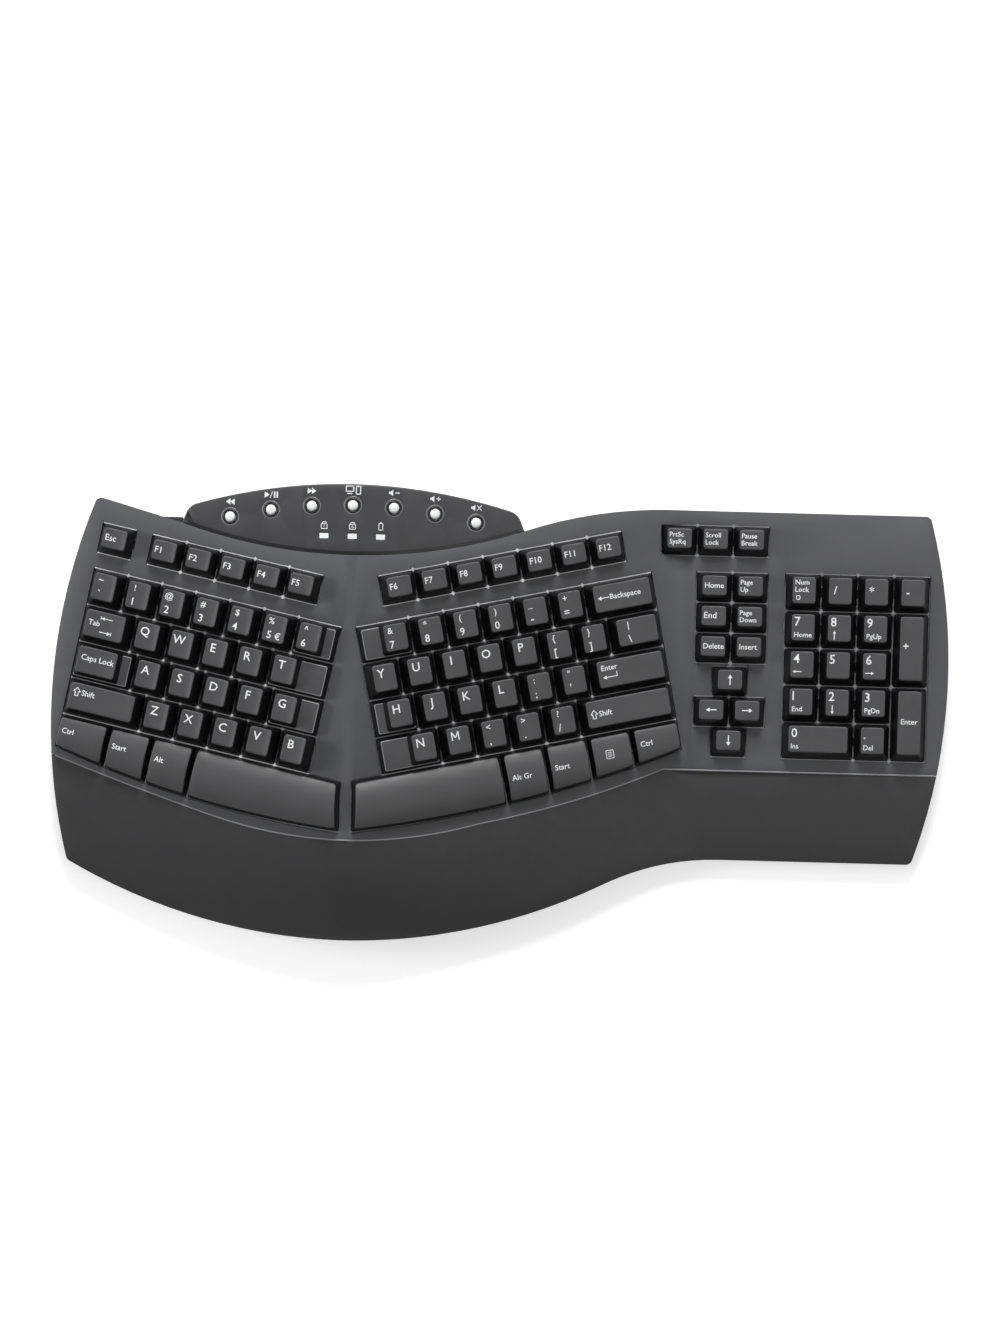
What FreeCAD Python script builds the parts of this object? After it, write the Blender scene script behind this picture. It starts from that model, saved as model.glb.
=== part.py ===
import FreeCAD, Part
import Sketcher
import math
import os
from FreeCAD import Vector, Placement, Rotation, Matrix

# Ergonomic keyboard: a one-piece desk keyboard with a raised crest between two
# turned key fields, a flat number pad, a curved palm rest and a media panel.
# X runs to the right, Y to the rear, Z up. The origin is on the desk, under the
# middle of the outline. "Deck" is the top surface that the keys stand in, and a
# "depth" is measured down from it, square to it.

doc = FreeCAD.newDocument("ergonomic_keyboard")

SIZES = [
    # alias, value, meaning
    ("tent_angle", 10.0, "rise of each key field towards the crest, degrees"),
    ("rear_slope", 3.0, "rise of the deck towards the rear, degrees"),
    ("pad_height", 13.9, "deck of the number pad above the desk at Y = 0"),
    ("crest_across", -77.5, "X of the crest line"),
    ("pad_edge_across", 96.0, "X where the right field meets the flat pad zone"),
    ("crest_radius", 25.0, "rounding of the deck along the crest"),
    ("media_crest_radius", 150.0, "rounding of the media panel along the crest"),
    ("valley_radius", 38.0, "rounding where the right field meets the pad"),
    ("half_width", 231.6, "half of the overall width"),
    ("side_radius", 300.0, "plan radius of the left and right edges"),
    ("left_side_middle", -4.4, "Y of the widest point on the left"),
    ("right_side_middle", 27.0, "Y of the widest point on the right"),
    ("front_radius", 294.5, "plan radius of the bulged palm rest edge"),
    ("front_reach", -117.4, "Y of the palm rest's foremost point"),
    ("front_right_line", -71.2, "Y of the straight front edge under the pad"),
    ("front_blend_radius", 131.7, "hollow between bulge and straight front"),
    ("rear_line", 109.2, "Y of the straight rear edge"),
    ("rear_blend_radius", 239.0, "plan radius of the rear edge beside the media panel"),
    ("rear_blend_across", 88.4, "X where the straight rear edge begins to curve"),
    ("media_radius", 288.0, "plan radius of the media panel's rear edge"),
    ("media_reach", 117.4, "Y of the media panel's rearmost point"),
    ("deck_rear_radius", 269.0, "plan radius of the deck edge before the media panel"),
    ("deck_rear_level", 81.0, "Y of that edge at the crest"),
    ("media_half_width", 88.0, "half width of the media panel"),
    ("media_taper", 3.5, "how far the panel's ends draw in towards the rear"),
    ("media_corner", 8.5, "plan rounding of the panel's rear corners"),
    ("rear_left_level", 108.4, "Y of the rear left corner"),
    ("corner_radius", 3.5, "plan rounding of the outer corners"),
    ("seam_gap", 0.4, "slit between deck and palm rest"),
    ("side_wall", 2.2, "side walls of the shells"),
    ("deck_wall", 2.4, "thickness of the deck"),
    ("case_split", 6.0, "height of the joint between shells and base"),
    ("floor_low", 1.0, "underside of the base above the desk"),
    ("floor_wall", 2.2, "thickness of the base floor"),
    ("palm_depth", 50.0, "palm rest from seam to front edge"),
    ("palm_front_edge", 7.0, "lowest front edge of the palm rest"),
    ("palm_fall_share", 0.5, "share of the height above it that the palm rest loses"),
    ("alpha_column", 18.4, "key pitch along a row of the two fields"),
    ("alpha_row", 19.3, "row pitch of the two fields"),
    ("field_turn", 12.0, "turn of each field in its own plane, degrees"),
    ("pad_column", 18.7, "column pitch of the number pad"),
    ("pad_row", 19.2, "row pitch of the number pad"),
    ("nav_column", 18.6, "column pitch of the navigation keys"),
    ("nav_row", 15.7, "row pitch of the navigation keys"),
    ("function_rise", 25.5, "function row above the digit row, centre to centre"),
    ("function_depth", 15.8, "depth of a function key's cell"),
    ("window_margin", 0.35, "window edge outside the key cells"),
    ("cap_gap", 0.7, "gap between neighbouring keycaps at their feet"),
    ("cap_height", 8.8, "top of a letter key above the deck"),
    ("pad_cap_height", 8.4, "top of a number pad key above the deck"),
    ("low_cap_height", 7.0, "top of a function or navigation key above the deck"),
    ("thumb_cap_height", 7.8, "top of the bottom row's rolled keys above the deck"),
    ("step_height", 4.2, "low step of the stepped keys above the deck"),
    ("cap_foot", 0.1, "lower rim of a keycap against the deck"),
    ("cap_side", 3.1, "how far a cap's sides draw in"),
    ("cap_rear", 0.95, "how far a cap's rear draws in"),
    ("cap_front", 3.85, "how far a cap's front draws in"),
    ("low_cap_side", 2.7, "the same for function and navigation keys, sides"),
    ("low_cap_rear", 1.2, "rear"),
    ("low_cap_front", 3.6, "front"),
    ("step_side", 1.4, "how far the low step's sides draw in"),
    ("cap_wall", 1.2, "wall of a keycap"),
    ("cap_roof", 1.3, "roof of a keycap under its dish"),
    ("dish", 0.65, "depth of the finger dish"),
    ("dish_edge", 0.1, "how far the dish runs past a cap's sides"),
    ("key_travel", 3.2, "full travel of a key"),
    ("stem_width", 5.2, "keycap stem across"),
    ("stem_depth", 4.6, "keycap stem front to rear"),
    ("stem_play", 0.08, "running clearance of a stem in its guide"),
    ("frame_floor", 3.2, "depth of the key frame's visible floor"),
    ("frame_plate", 1.2, "thickness of that floor"),
    ("stem_foot", 4.6, "depth of the stem's end at rest"),
    ("dome_gap", 0.1, "between stem and dome"),
    ("dome_foot", 3.8, "half width of a rubber dome at its foot"),
    ("dome_top", 1.9, "half width of a rubber dome at its top"),
    ("sheet_depth", 7.9, "depth of the rubber sheet's upper face"),
    ("rubber_sheet", 0.3, "thickness of the rubber sheet"),
    ("membrane", 0.3, "thickness of the membrane circuit"),
    ("backing", 0.7, "thickness of the steel backing plate"),
    ("stack_play", 0.6, "gap between the inner sheets and the case wall"),
    ("media_sink", 0.5, "media panel below the deck"),
    ("media_panel_wall", 2.2, "thickness of the media panel"),
    ("media_ledge", 3.0, "width of the ledge that carries the panel"),
    ("media_button_pitch", 21.05, "media buttons along their arc"),
    ("media_button_arc", 285.0, "plan radius of that arc"),
    ("media_button_level", 106.4, "Y of the middle media button"),
    ("media_button_radius", 4.0, "dark collar of a media button"),
    ("media_cap_radius", 2.7, "bright cap in the collar"),
    ("media_button_play", 0.1, "running clearance of a media button"),
    ("media_button_travel", 0.8, "travel of a media button"),
    ("media_stud", 3.0, "studs between panel and media board"),
    ("media_switch", 0.9, "height of the small switches on the media board"),
    ("media_board_wall", 0.8, "thickness of the media board"),
    ("lens_width", 4.6, "indicator lens across"),
    ("lens_depth", 2.6, "indicator lens front to rear"),
    ("lens_pitch", 14.5, "indicator lenses, centre to centre"),
    ("lens_level", 90.6, "Y of the indicator lenses"),
    ("boss_radius", 3.0, "screw bosses under the shells"),
    ("post_radius", 4.0, "screw posts of the base"),
    ("head_seat", 3.0, "height of the seat of the screw heads"),
    ("screw_radius", 1.3, "screw shank"),
    ("screw_head_radius", 2.7, "screw head"),
    ("screw_head", 1.8, "height of a screw head"),
    ("screw_shank", 5.0, "length of a screw shank"),
    ("screw_play", 0.1, "clearance around screws"),
    ("foot_pad_width", 16.0, "rubber foot across"),
    ("foot_pad_depth", 9.0, "rubber foot front to rear"),
    ("foot_pad_seat", 0.5, "how deep a rubber foot sits in the base"),
    ("tilt_foot_width", 24.0, "tilt foot across"),
    ("tilt_foot_length", 19.0, "tilt foot from its pin to its tip"),
    ("tilt_foot_wall", 3.0, "thickness of a tilt foot"),
    ("tilt_pin_height", 2.7, "height of the tilt feet's pins"),
    ("tilt_foot_level", 96.0, "Y of the tilt feet's pins"),
    ("tilt_foot_across", 182.0, "X of the tilt feet, left and right"),
    ("tilt_pin_radius", 1.1, "hinge stub of a tilt foot"),
    ("tilt_pin_length", 2.0, "length of that stub"),
    ("pin_play", 0.05, "running clearance of a hinge stub"),
    ("part_play", 0.3, "free gap around the small moving parts"),
    ("cell_radius", 7.1, "AA cell"),
    ("cell_length", 49.2, "AA cell without its nub"),
    ("cell_nub", 1.3, "height of the cell's nub"),
    ("cell_pitch", 15.2, "the two cells, axis to axis"),
    ("cell_axis", 10.0, "height of the cells' axes"),
    ("bay_level", 95.6, "Y of the battery bay's middle"),
    ("bay_across", -77.5, "X of the battery bay's middle"),
    ("bay_play", 0.65, "free gap between the cells and the bay"),
    ("bay_contacts", 3.5, "room for the contacts along the bay"),
    ("bay_rim", 5.5, "thick rim of the base around the bay"),
    ("bay_rim_height", 4.6, "top of that rim"),
    ("door_width", 60.0, "battery door across"),
    ("door_front", 18.5, "battery door from the bay's middle to its front edge"),
    ("door_rear", 20.0, "and to its rear edge"),
    ("door_wall", 1.6, "thickness of the battery door"),
    ("door_play", 0.15, "running clearance of the battery door"),
    ("door_tongue", 1.5, "side tongues of the battery door"),
    ("door_travel", 10.0, "how far the battery door slides before it lifts off"),
    ("bay_wall", 1.5, "walls of the battery bay"),
    ("contact_wall", 0.45, "battery contact plates"),
    ("rib_wall", 2.0, "ribs of the base"),
    ("switch_across", -128.0, "X of the power switch"),
    ("switch_level", 99.0, "Y of the power switch"),
    ("switch_travel", 3.0, "power switch from off to on"),
    ("switch_width", 6.1, "grip of the power switch across"),
    ("switch_depth", 3.0, "grip of the power switch front to rear"),
    ("switch_flange", 1.2, "thickness of the slider inside the base"),
    ("board_across", -134.0, "X of the controller board's middle"),
    ("board_level", 92.5, "Y of the controller board's middle"),
    ("board_width", 36.0, "controller board across"),
    ("board_depth", 20.0, "controller board front to rear"),
    ("board_height", 7.0, "underside of the controller board"),
    ("board_wall", 1.6, "thickness of the controller board"),
    ("wire_radius", 0.6, "space bar stabiliser wire"),
    ("wire_arm", 12.0, "arm of the stabiliser wire"),
    ("wire_span", 44.0, "stabiliser wire from arm to arm"),
    ("wire_axis", -0.9, "axis of the stabiliser wire above the deck"),
]

sheet = doc.addObject("Spreadsheet::Sheet", "sizes")
VALUES = {}
for row, (alias, value, meaning) in enumerate(SIZES, start=1):
    sheet.set("A%d" % row, meaning)
    sheet.set("B%d" % row, "%g" % value)
    sheet.setAlias("B%d" % row, alias)
    VALUES[alias] = value
doc.recompute()


def size(alias):
    return VALUES[alias]


def bind(thing, **expressions):
    """Tie properties of an object to cells of the sheet."""
    for name, expression in expressions.items():
        thing.setExpression(name.replace("__", "."), expression)
    return thing


# Lines and planes of the deck

TENT = math.radians(size("tent_angle"))
SLOPE = math.tan(math.radians(size("rear_slope")))
CREST = size("crest_across")
PAD_EDGE = size("pad_edge_across")
CREST_HEIGHT = size("pad_height") + math.tan(TENT) * (PAD_EDGE - CREST)
REACH = 260.0
DEPTH_OF_CUT = 60.0
TALL = 120.0


def deck_height(x, y):
    """Height of the deck's planes over a point of the plan, before rounding."""
    if x < CREST:
        across = CREST_HEIGHT - math.tan(TENT) * (CREST - x)
    elif x < PAD_EDGE:
        across = CREST_HEIGHT - math.tan(TENT) * (x - CREST)
    else:
        across = size("pad_height")
    return across + SLOPE * y


HIDDEN_CHORDS = 3


def bend(first, middle, last, shown):
    """A rounded stretch of the profile. Hidden ones are made of a few chords."""
    curve = Part.Arc(first, middle, last)
    if shown:
        return [curve.toShape()]
    points = curve.discretize(Number=HIDDEN_CHORDS + 1)
    return [Part.makeLine(*pair) for pair in zip(points, points[1:])]


def profile_edges(depth, crest_radius):
    """The deck's front profile in the XZ plane, a number of mm under the deck."""
    shown = depth <= size("media_sink") + size("media_panel_wall")
    crest_top = CREST_HEIGHT - depth / math.cos(TENT)
    valley_x = PAD_EDGE - depth * math.tan(TENT / 2)
    valley_z = size("pad_height") - depth
    crest_r = crest_radius - depth
    valley_r = size("valley_radius") + depth
    crest_cut = crest_r * math.tan(TENT)
    valley_cut = valley_r * math.tan(TENT / 2)
    cos_t = math.cos(TENT)
    sin_t = math.sin(TENT)
    left_end = Vector(-REACH, 0, crest_top - math.tan(TENT) * (CREST + REACH))
    crest_left = Vector(CREST - crest_cut * cos_t, 0, crest_top - crest_cut * sin_t)
    crest_mid = Vector(CREST, 0, crest_top - crest_r * (1 / cos_t - 1))
    crest_right = Vector(CREST + crest_cut * cos_t, 0, crest_top - crest_cut * sin_t)
    valley_left = Vector(valley_x - valley_cut * cos_t, 0, valley_z + valley_cut * sin_t)
    lift = valley_r * (1 / math.cos(TENT / 2) - 1)
    valley_mid = Vector(
        valley_x + lift * math.sin(TENT / 2), 0, valley_z + lift * math.cos(TENT / 2)
    )
    valley_right = Vector(valley_x + valley_cut, 0, valley_z)
    right_end = Vector(REACH, 0, valley_z)
    edges = [Part.makeLine(left_end, crest_left)]
    edges += bend(crest_left, crest_mid, crest_right, shown)
    edges.append(Part.makeLine(crest_right, valley_left))
    edges += bend(valley_left, valley_mid, valley_right, shown)
    edges.append(Part.makeLine(valley_right, right_end))
    return edges


def swept(face):
    """Carry a face in the XZ plane from front to rear along the deck's slope."""
    face.translate(Vector(0, -REACH, -REACH * SLOPE))
    return face.extrude(Vector(0, 2 * REACH, 2 * REACH * SLOPE))


def under_deck(depth, crest_radius=None):
    """Everything below the surface that lies this deep under the deck."""
    edges = profile_edges(depth, crest_radius or size("crest_radius"))
    start = edges[0].Vertexes[0].Point
    end = edges[-1].Vertexes[-1].Point
    low = -DEPTH_OF_CUT
    loop = [
        Part.makeLine(end, Vector(end.x, 0, low)),
        Part.makeLine(Vector(end.x, 0, low), Vector(start.x, 0, low)),
        Part.makeLine(Vector(start.x, 0, low), start),
    ]
    return swept(Part.Face(Part.Wire(edges + loop)))


def band(upper, lower, crest_radius=None):
    """The layer between two depths."""
    radius = crest_radius or size("crest_radius")
    top = profile_edges(upper, radius)
    bottom = profile_edges(lower, radius)
    right = Part.makeLine(top[-1].Vertexes[-1].Point, bottom[-1].Vertexes[-1].Point)
    left = Part.makeLine(bottom[0].Vertexes[0].Point, top[0].Vertexes[0].Point)
    return swept(Part.Face(Part.Wire(Part.__sortEdges__(top + [right] + bottom + [left]))))


# Plan outlines, drawn flat at Z = 0


def arc(first, middle, last):
    return Part.Arc(Vector(*first, 0), Vector(*middle, 0), Vector(*last, 0)).toShape()


def line(first, last):
    return Part.makeLine(Vector(*first, 0), Vector(*last, 0))


def plan_face(edges):
    return Part.Face(Part.Wire(Part.__sortEdges__(edges)))


def rectangle(x0, y0, x1, y1):
    return plan_face([line((x0, y0), (x1, y0)), line((x1, y0), (x1, y1)),
                      line((x1, y1), (x0, y1)), line((x0, y1), (x0, y0))])


def polygon(points):
    return Part.Face(Part.makePolygon([Vector(x, y, 0) for x, y in points + points[:1]]))


def grown(face, by):
    """The face offset in its plane, outwards if the distance is positive."""
    if not by:
        return face.copy()
    return Part.Face(face.OuterWire.makeOffset2D(by, 1))


def rounded(face, radius):
    """The face with its outer corners rounded in plan."""
    inner = face.OuterWire.makeOffset2D(-radius, 1)
    return Part.Face(inner.makeOffset2D(radius, 0))


def circle_level(x, middle_x, middle_y, radius, side):
    """Y of a circle at x, on its rear side for 1 and its front side for -1."""
    return middle_y + side * math.sqrt(radius ** 2 - (x - middle_x) ** 2)


def side_across(y, hand):
    """X of the left (-1) or right (1) edge of the keyboard at a level y."""
    middle = size("right_side_middle") if hand > 0 else size("left_side_middle")
    radius = size("side_radius")
    sway = radius - math.sqrt(radius ** 2 - (y - middle) ** 2)
    return hand * (size("half_width") - sway)


def media_rear(x):
    return circle_level(x, CREST, size("media_reach") - size("media_radius"),
                        size("media_radius"), 1)


def deck_rear(x):
    return circle_level(x, CREST, size("deck_rear_level") + size("deck_rear_radius"),
                        size("deck_rear_radius"), -1)


def outline_edges(rear_edges):
    """The outline of the keyboard, with the given edges from panel end to panel end."""
    bulge_y = size("front_reach") + size("front_radius")
    hollow_y = size("front_right_line") - size("front_blend_radius")
    joined = size("front_radius") + size("front_blend_radius")
    hollow_x = CREST + math.sqrt(joined ** 2 - (bulge_y - hollow_y) ** 2)
    share = size("front_radius") / joined
    blend = (CREST + (hollow_x - CREST) * share, bulge_y + (hollow_y - bulge_y) * share)
    hollow_mid_x = (blend[0] + hollow_x) / 2
    hollow_mid = (hollow_mid_x, circle_level(hollow_mid_x, hollow_x, hollow_y,
                                             size("front_blend_radius"), 1))
    left_y = -80.0
    for turn in range(20):
        left_x = side_across(left_y, -1)
        left_y = circle_level(left_x, CREST, bulge_y, size("front_radius"), -1)
    front_left = (left_x, left_y)
    front_right = (side_across(size("front_right_line"), 1), size("front_right_line"))
    rear_right = (side_across(size("rear_line"), 1), size("rear_line"))
    rear_left = (side_across(size("rear_left_level"), -1), size("rear_left_level"))
    panel_left = (CREST - size("media_half_width"), deck_rear(CREST - size("media_half_width")))
    panel_right = (CREST + size("media_half_width"), deck_rear(CREST + size("media_half_width")))
    blend_x = size("rear_blend_across")
    blend_y = size("rear_line") - size("rear_blend_radius")
    rear_mid_x = (blend_x + panel_right[0]) / 2
    rear_mid = (rear_mid_x, circle_level(rear_mid_x, blend_x, blend_y,
                                         size("rear_blend_radius"), 1))
    return [
        arc(front_left, (CREST, size("front_reach")), blend),
        arc(blend, hollow_mid, (hollow_x, size("front_right_line"))),
        line((hollow_x, size("front_right_line")), front_right),
        arc(front_right, (size("half_width"), size("right_side_middle")), rear_right),
        line(rear_right, (blend_x, size("rear_line"))),
        arc((blend_x, size("rear_line")), rear_mid, panel_right),
        line(panel_left, rear_left),
        arc(rear_left, (-size("half_width"), size("left_side_middle")), front_left),
    ] + rear_edges


def media_corner():
    """Start, middle and end of the panel's right rear corner, measured from the crest."""
    half = size("media_half_width")
    radius = size("media_corner")
    foot = Vector(half, deck_rear(CREST + half), 0)
    tip_x = half - size("media_taper")
    along = (Vector(tip_x, media_rear(CREST + tip_x), 0) - foot).normalize()
    inwards = Vector(-along.y, along.x, 0)
    hub = Vector(0, size("media_reach") - size("media_radius"), 0)
    start = foot + inwards * radius - hub
    reach = start.dot(along)
    away = reach ** 2 - start.dot(start) + (size("media_radius") - radius) ** 2
    centre = start + along * (math.sqrt(away) - reach)
    first = centre - inwards * radius
    last = centre * (size("media_radius") / centre.Length)
    middle = centre + ((first - centre) + (last - centre)).normalize() * radius
    return [point + hub for point in (first, middle, last)]


def media_edges():
    """Ends, corners and rear edge of the media panel, which bulges out behind the deck."""
    half = size("media_half_width")
    edges = []
    ends = []
    for hand in (-1, 1):
        first, middle, last = [(CREST + hand * point.x, point.y) for point in media_corner()]
        edges.append(line((CREST + hand * half, deck_rear(CREST + hand * half)), first))
        edges.append(arc(first, middle, last))
        ends.append(last)
    return edges + [arc(ends[0], (CREST, size("media_reach")), ends[1])]


def deck_rear_edge():
    half = size("media_half_width")
    return arc((CREST - half, deck_rear(CREST - half)), (CREST, size("deck_rear_level")),
               (CREST + half, deck_rear(CREST + half)))


# The seam between deck and palm rest: three arcs, then a straight stretch to
# the right edge. Each point is a plan point of the seam.
SEAM_LEFT = (-245.0, -19.6)
SEAM_POINTS = [(-195.0, -38.0), (-148.0, -53.7), (-78.5, -64.9), (-8.0, -54.7),
               (40.0, -41.9), (85.4, -24.7)]
SEAM_RIGHT = (REACH, -24.7)


def seam_edges():
    one, two, three, four, five, six = SEAM_POINTS
    return [arc(SEAM_LEFT, one, two), arc(two, three, four), arc(four, five, six)]


SEAM_STEPS = 60
SEAM_SAMPLES = [point for edge in seam_edges() for point in edge.discretize(SEAM_STEPS)]


def seam_level(x):
    """Y of the seam at x."""
    if x <= SEAM_SAMPLES[0].x:
        return SEAM_SAMPLES[0].y
    for one, two in zip(SEAM_SAMPLES, SEAM_SAMPLES[1:]):
        if x <= two.x:
            return one.y + (two.y - one.y) * (x - one.x) / (two.x - one.x)
    return SEAM_RIGHT[1]


def before_seam(shift):
    """The plan area in front of the seam, which is first moved rearwards by shift."""
    far = -REACH
    face = plan_face(seam_edges() + [
        line(SEAM_POINTS[-1], SEAM_RIGHT),
        line(SEAM_RIGHT, (SEAM_RIGHT[0], far)),
        line((SEAM_RIGHT[0], far), (SEAM_LEFT[0], far)),
        line((SEAM_LEFT[0], far), SEAM_LEFT),
    ])
    face.translate(Vector(0, shift, 0))
    return face


def one_face(shape):
    return max(shape.Faces, key=lambda face: face.Area)


OUTLINE = rounded(plan_face(outline_edges(media_edges())), size("corner_radius"))
DECK_PLAN = one_face(OUTLINE.cut(before_seam(0)))
PALM_PLAN = one_face(OUTLINE.common(before_seam(-size("seam_gap"))))
MEDIA_PLAN = one_face(OUTLINE.common(plan_face(media_edges() + [deck_rear_edge()])))


HIDDEN_SAG = 0.4


def stack_plan(inset):
    """Plan area under the deck that is free for the inner layers."""
    edge = size("side_wall") + inset
    return straightened(one_face(grown(DECK_PLAN, -edge).cut(grown(MEDIA_PLAN, edge))),
                        HIDDEN_SAG)


def straightened(face, sag):
    """The face with chords in place of its curved edges, for hidden walls."""
    points = face.OuterWire.discretize(Deflection=sag)
    return polygon([(point.x, point.y) for point in points[:-1]])


STACK_PLAN = stack_plan(size("stack_play"))


def prism(face, low, high):
    """A plan area standing between two heights."""
    solid = face.extrude(Vector(0, 0, high - low))
    solid.translate(Vector(0, 0, low))
    return solid


# The palm rest's crowned surface: a grid of poles that follows the seam and
# falls away in front of it with the square of the distance.
PALM_COLUMNS = 41
PALM_REACH = 95.0


def palm_pole(x, ahead, depth, ahead_too=None):
    """A point a distance ahead of the seam, or the pole between two such points."""
    other = ahead if ahead_too is None else ahead_too
    y = seam_level(x) - (ahead + other) / 2
    front = deck_height(x, seam_level(x) - size("palm_depth"))
    fall = (front - size("palm_front_edge")) * size("palm_fall_share")
    share = max(ahead, 0.0) * max(other, 0.0) / size("palm_depth") ** 2
    return Vector(x, y, deck_height(x, y) - fall * share - depth)


def under_palm(depth):
    """Everything below the surface that lies this deep under the palm rest's top."""
    pitch = 2 * REACH / (PALM_COLUMNS - 1)
    front = PALM_REACH
    poles = [[palm_pole(-REACH + pitch * column, one, depth, two)
              for one, two in ((-1.0, -1.0), (-1.0, front), (front, front))]
             for column in range(PALM_COLUMNS)]
    surface = Part.BSplineSurface()
    spans = PALM_COLUMNS - 3
    surface.buildFromPolesMultsKnots(poles, [4] + [1] * (spans - 1) + [4], [3, 3],
                                     [float(k) for k in range(spans + 1)], [0.0, 1.0],
                                     False, False, 3, 2)
    return surface.toShape().extrude(Vector(0, 0, -2 * DEPTH_OF_CUT))


# Under it the palm rest is hollow. Its ceiling has flat facets between a few lines
# across and along, at least the deck's wall below the surface.
CEILING_ACROSS = [-REACH, -170.0, CREST - 22.0, CREST + 22.0, 40.0, PAD_EDGE, REACH]
CEILING_AHEAD = [-40.0, 0.0, 25.0, 50.0, 90.0]
CEILING_DEPTH = 3.4


def palm_hollow():
    """Everything below the palm rest's ceiling."""
    rows = [[palm_pole(x, ahead, CEILING_DEPTH) for ahead in CEILING_AHEAD]
            for x in CEILING_ACROSS]
    solids = []
    for column, after in zip(rows, rows[1:]):
        for k in range(len(CEILING_AHEAD) - 1):
            one, two, three, four = column[k], column[k + 1], after[k + 1], after[k]
            for corners in ((one, two, three), (one, three, four)):
                face = Part.Face(Part.makePolygon(list(corners) + [corners[0]]))
                solids.append(face.extrude(Vector(0, 0, -2 * DEPTH_OF_CUT)))
    return solids[0].fuse(solids[1:]).removeSplitter()


# The three key fields, each a frame of its own: X along a row, Y up a column,
# Z square to the deck. Each hangs on the plan point of the middle of its keys.


class Field:
    def __init__(self, rise, turn, plan, middle):
        normal = Vector(-rise, -SLOPE, 1.0).normalize()
        along = Vector(1.0, 0, rise).normalize()
        up = normal.cross(along)
        angle = math.radians(turn)
        self.x = along * math.cos(angle) + up * math.sin(angle)
        self.y = up * math.cos(angle) - along * math.sin(angle)
        self.z = normal
        point = Vector(plan[0], plan[1], deck_height(plan[0], plan[1]))
        self.origin = point - self.x * middle[0] - self.y * middle[1]
        self.place = Placement(Matrix(
            self.x.x, self.y.x, self.z.x, self.origin.x,
            self.x.y, self.y.y, self.z.y, self.origin.y,
            self.x.z, self.y.z, self.z.z, self.origin.z, 0, 0, 0, 1))

    def local_x(self, plan_x, y):
        """Field X of the point with this plan X and field Y."""
        return (plan_x - self.origin.x - self.y.x * y) / self.x.x

    def raised(self, face, low, high):
        """A face of the field's plane standing between two heights over the deck."""
        solid = face.extrude(Vector(0, 0, high - low))
        solid.translate(Vector(0, 0, low))
        solid.Placement = self.place.multiply(solid.Placement)
        return solid


COLUMN = size("alpha_column")
ROW = size("alpha_row")
LEFT_UNITS = 7.25
RIGHT_UNITS = 8.5
LEFT = Field(math.tan(TENT), -size("field_turn"), (-153.98, 20.21),
             (3.6 * COLUMN, -1.5 * ROW))
RIGHT = Field(-math.tan(TENT), size("field_turn"), (7.64, 22.56),
              (4.2 * COLUMN, -1.5 * ROW))
# In the flat zone the field's origin is the middle of the number lock key.
PAD = Field(0.0, 0.0, (155.4, 68.4), (0.0, 0.0))

FIELD_TOP = 0.5 * ROW
FIELD_BOTTOM = -3.5 * ROW
THUMB_STRIP = 2.7


def thumb_front(field, x):
    """Field Y of the bottom row's curved front edge."""
    peak, level, radius = ((104.0, -95.6, 520.0) if field is LEFT
                           else (31.5, -95.5, 663.0))
    return level + radius - math.sqrt(radius ** 2 - (x - peak) ** 2)


def thumb_end(field, y):
    """Field X of a space bar's end, which runs beside the crest."""
    hand = -1 if field is LEFT else 1
    return field.local_x(CREST + hand * THUMB_STRIP, y)


def field_window(field):
    """The main window of a letter field, with its curved bottom row."""
    if field is LEFT:
        outer, inner = 0.0, LEFT_UNITS * COLUMN
    else:
        outer, inner = RIGHT_UNITS * COLUMN, 0.0
    low_inner = thumb_end(field, FIELD_BOTTOM)
    low_y = thumb_front(field, low_inner)
    low_end = thumb_end(field, low_y)
    middle = (outer + low_end) / 2
    return plan_face([
        line((outer, FIELD_TOP), (inner, FIELD_TOP)),
        line((inner, FIELD_TOP), (inner, FIELD_BOTTOM)),
        line((inner, FIELD_BOTTOM), (low_inner, FIELD_BOTTOM)),
        line((low_inner, FIELD_BOTTOM), (low_end, low_y)),
        arc((low_end, low_y), (middle, thumb_front(field, middle)),
            (outer, thumb_front(field, outer))),
        line((outer, thumb_front(field, outer)), (outer, FIELD_TOP)),
    ])


FUNCTION_Y = size("function_rise")
FUNCTION_HALF = size("function_depth") / 2
ESCAPE_X = 0.47 * COLUMN
F1_X = 1.93 * COLUMN
F6_X = 1.36 * COLUMN
NAV_X = 109.3 - 155.4
PRINT_X = 90.6 - 155.4
PRINT_Y = 93.8 - 68.4
NAV_Y = 69.9 - 68.4
NAV = size("nav_column")
NAV_ROW = size("nav_row")
ARROW_X = NAV_X + 0.5 * NAV
ARROW_STRIP = 1.4
UP_Y = NAV_Y - 3 * NAV_ROW - ARROW_STRIP
PAD_COLUMN = size("pad_column")
PAD_ROW = size("pad_row")


def function_window(first_x, count):
    return rectangle(first_x - 0.5 * COLUMN, FUNCTION_Y - FUNCTION_HALF,
                     first_x + (count - 0.5) * COLUMN, FUNCTION_Y + FUNCTION_HALF)


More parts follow.
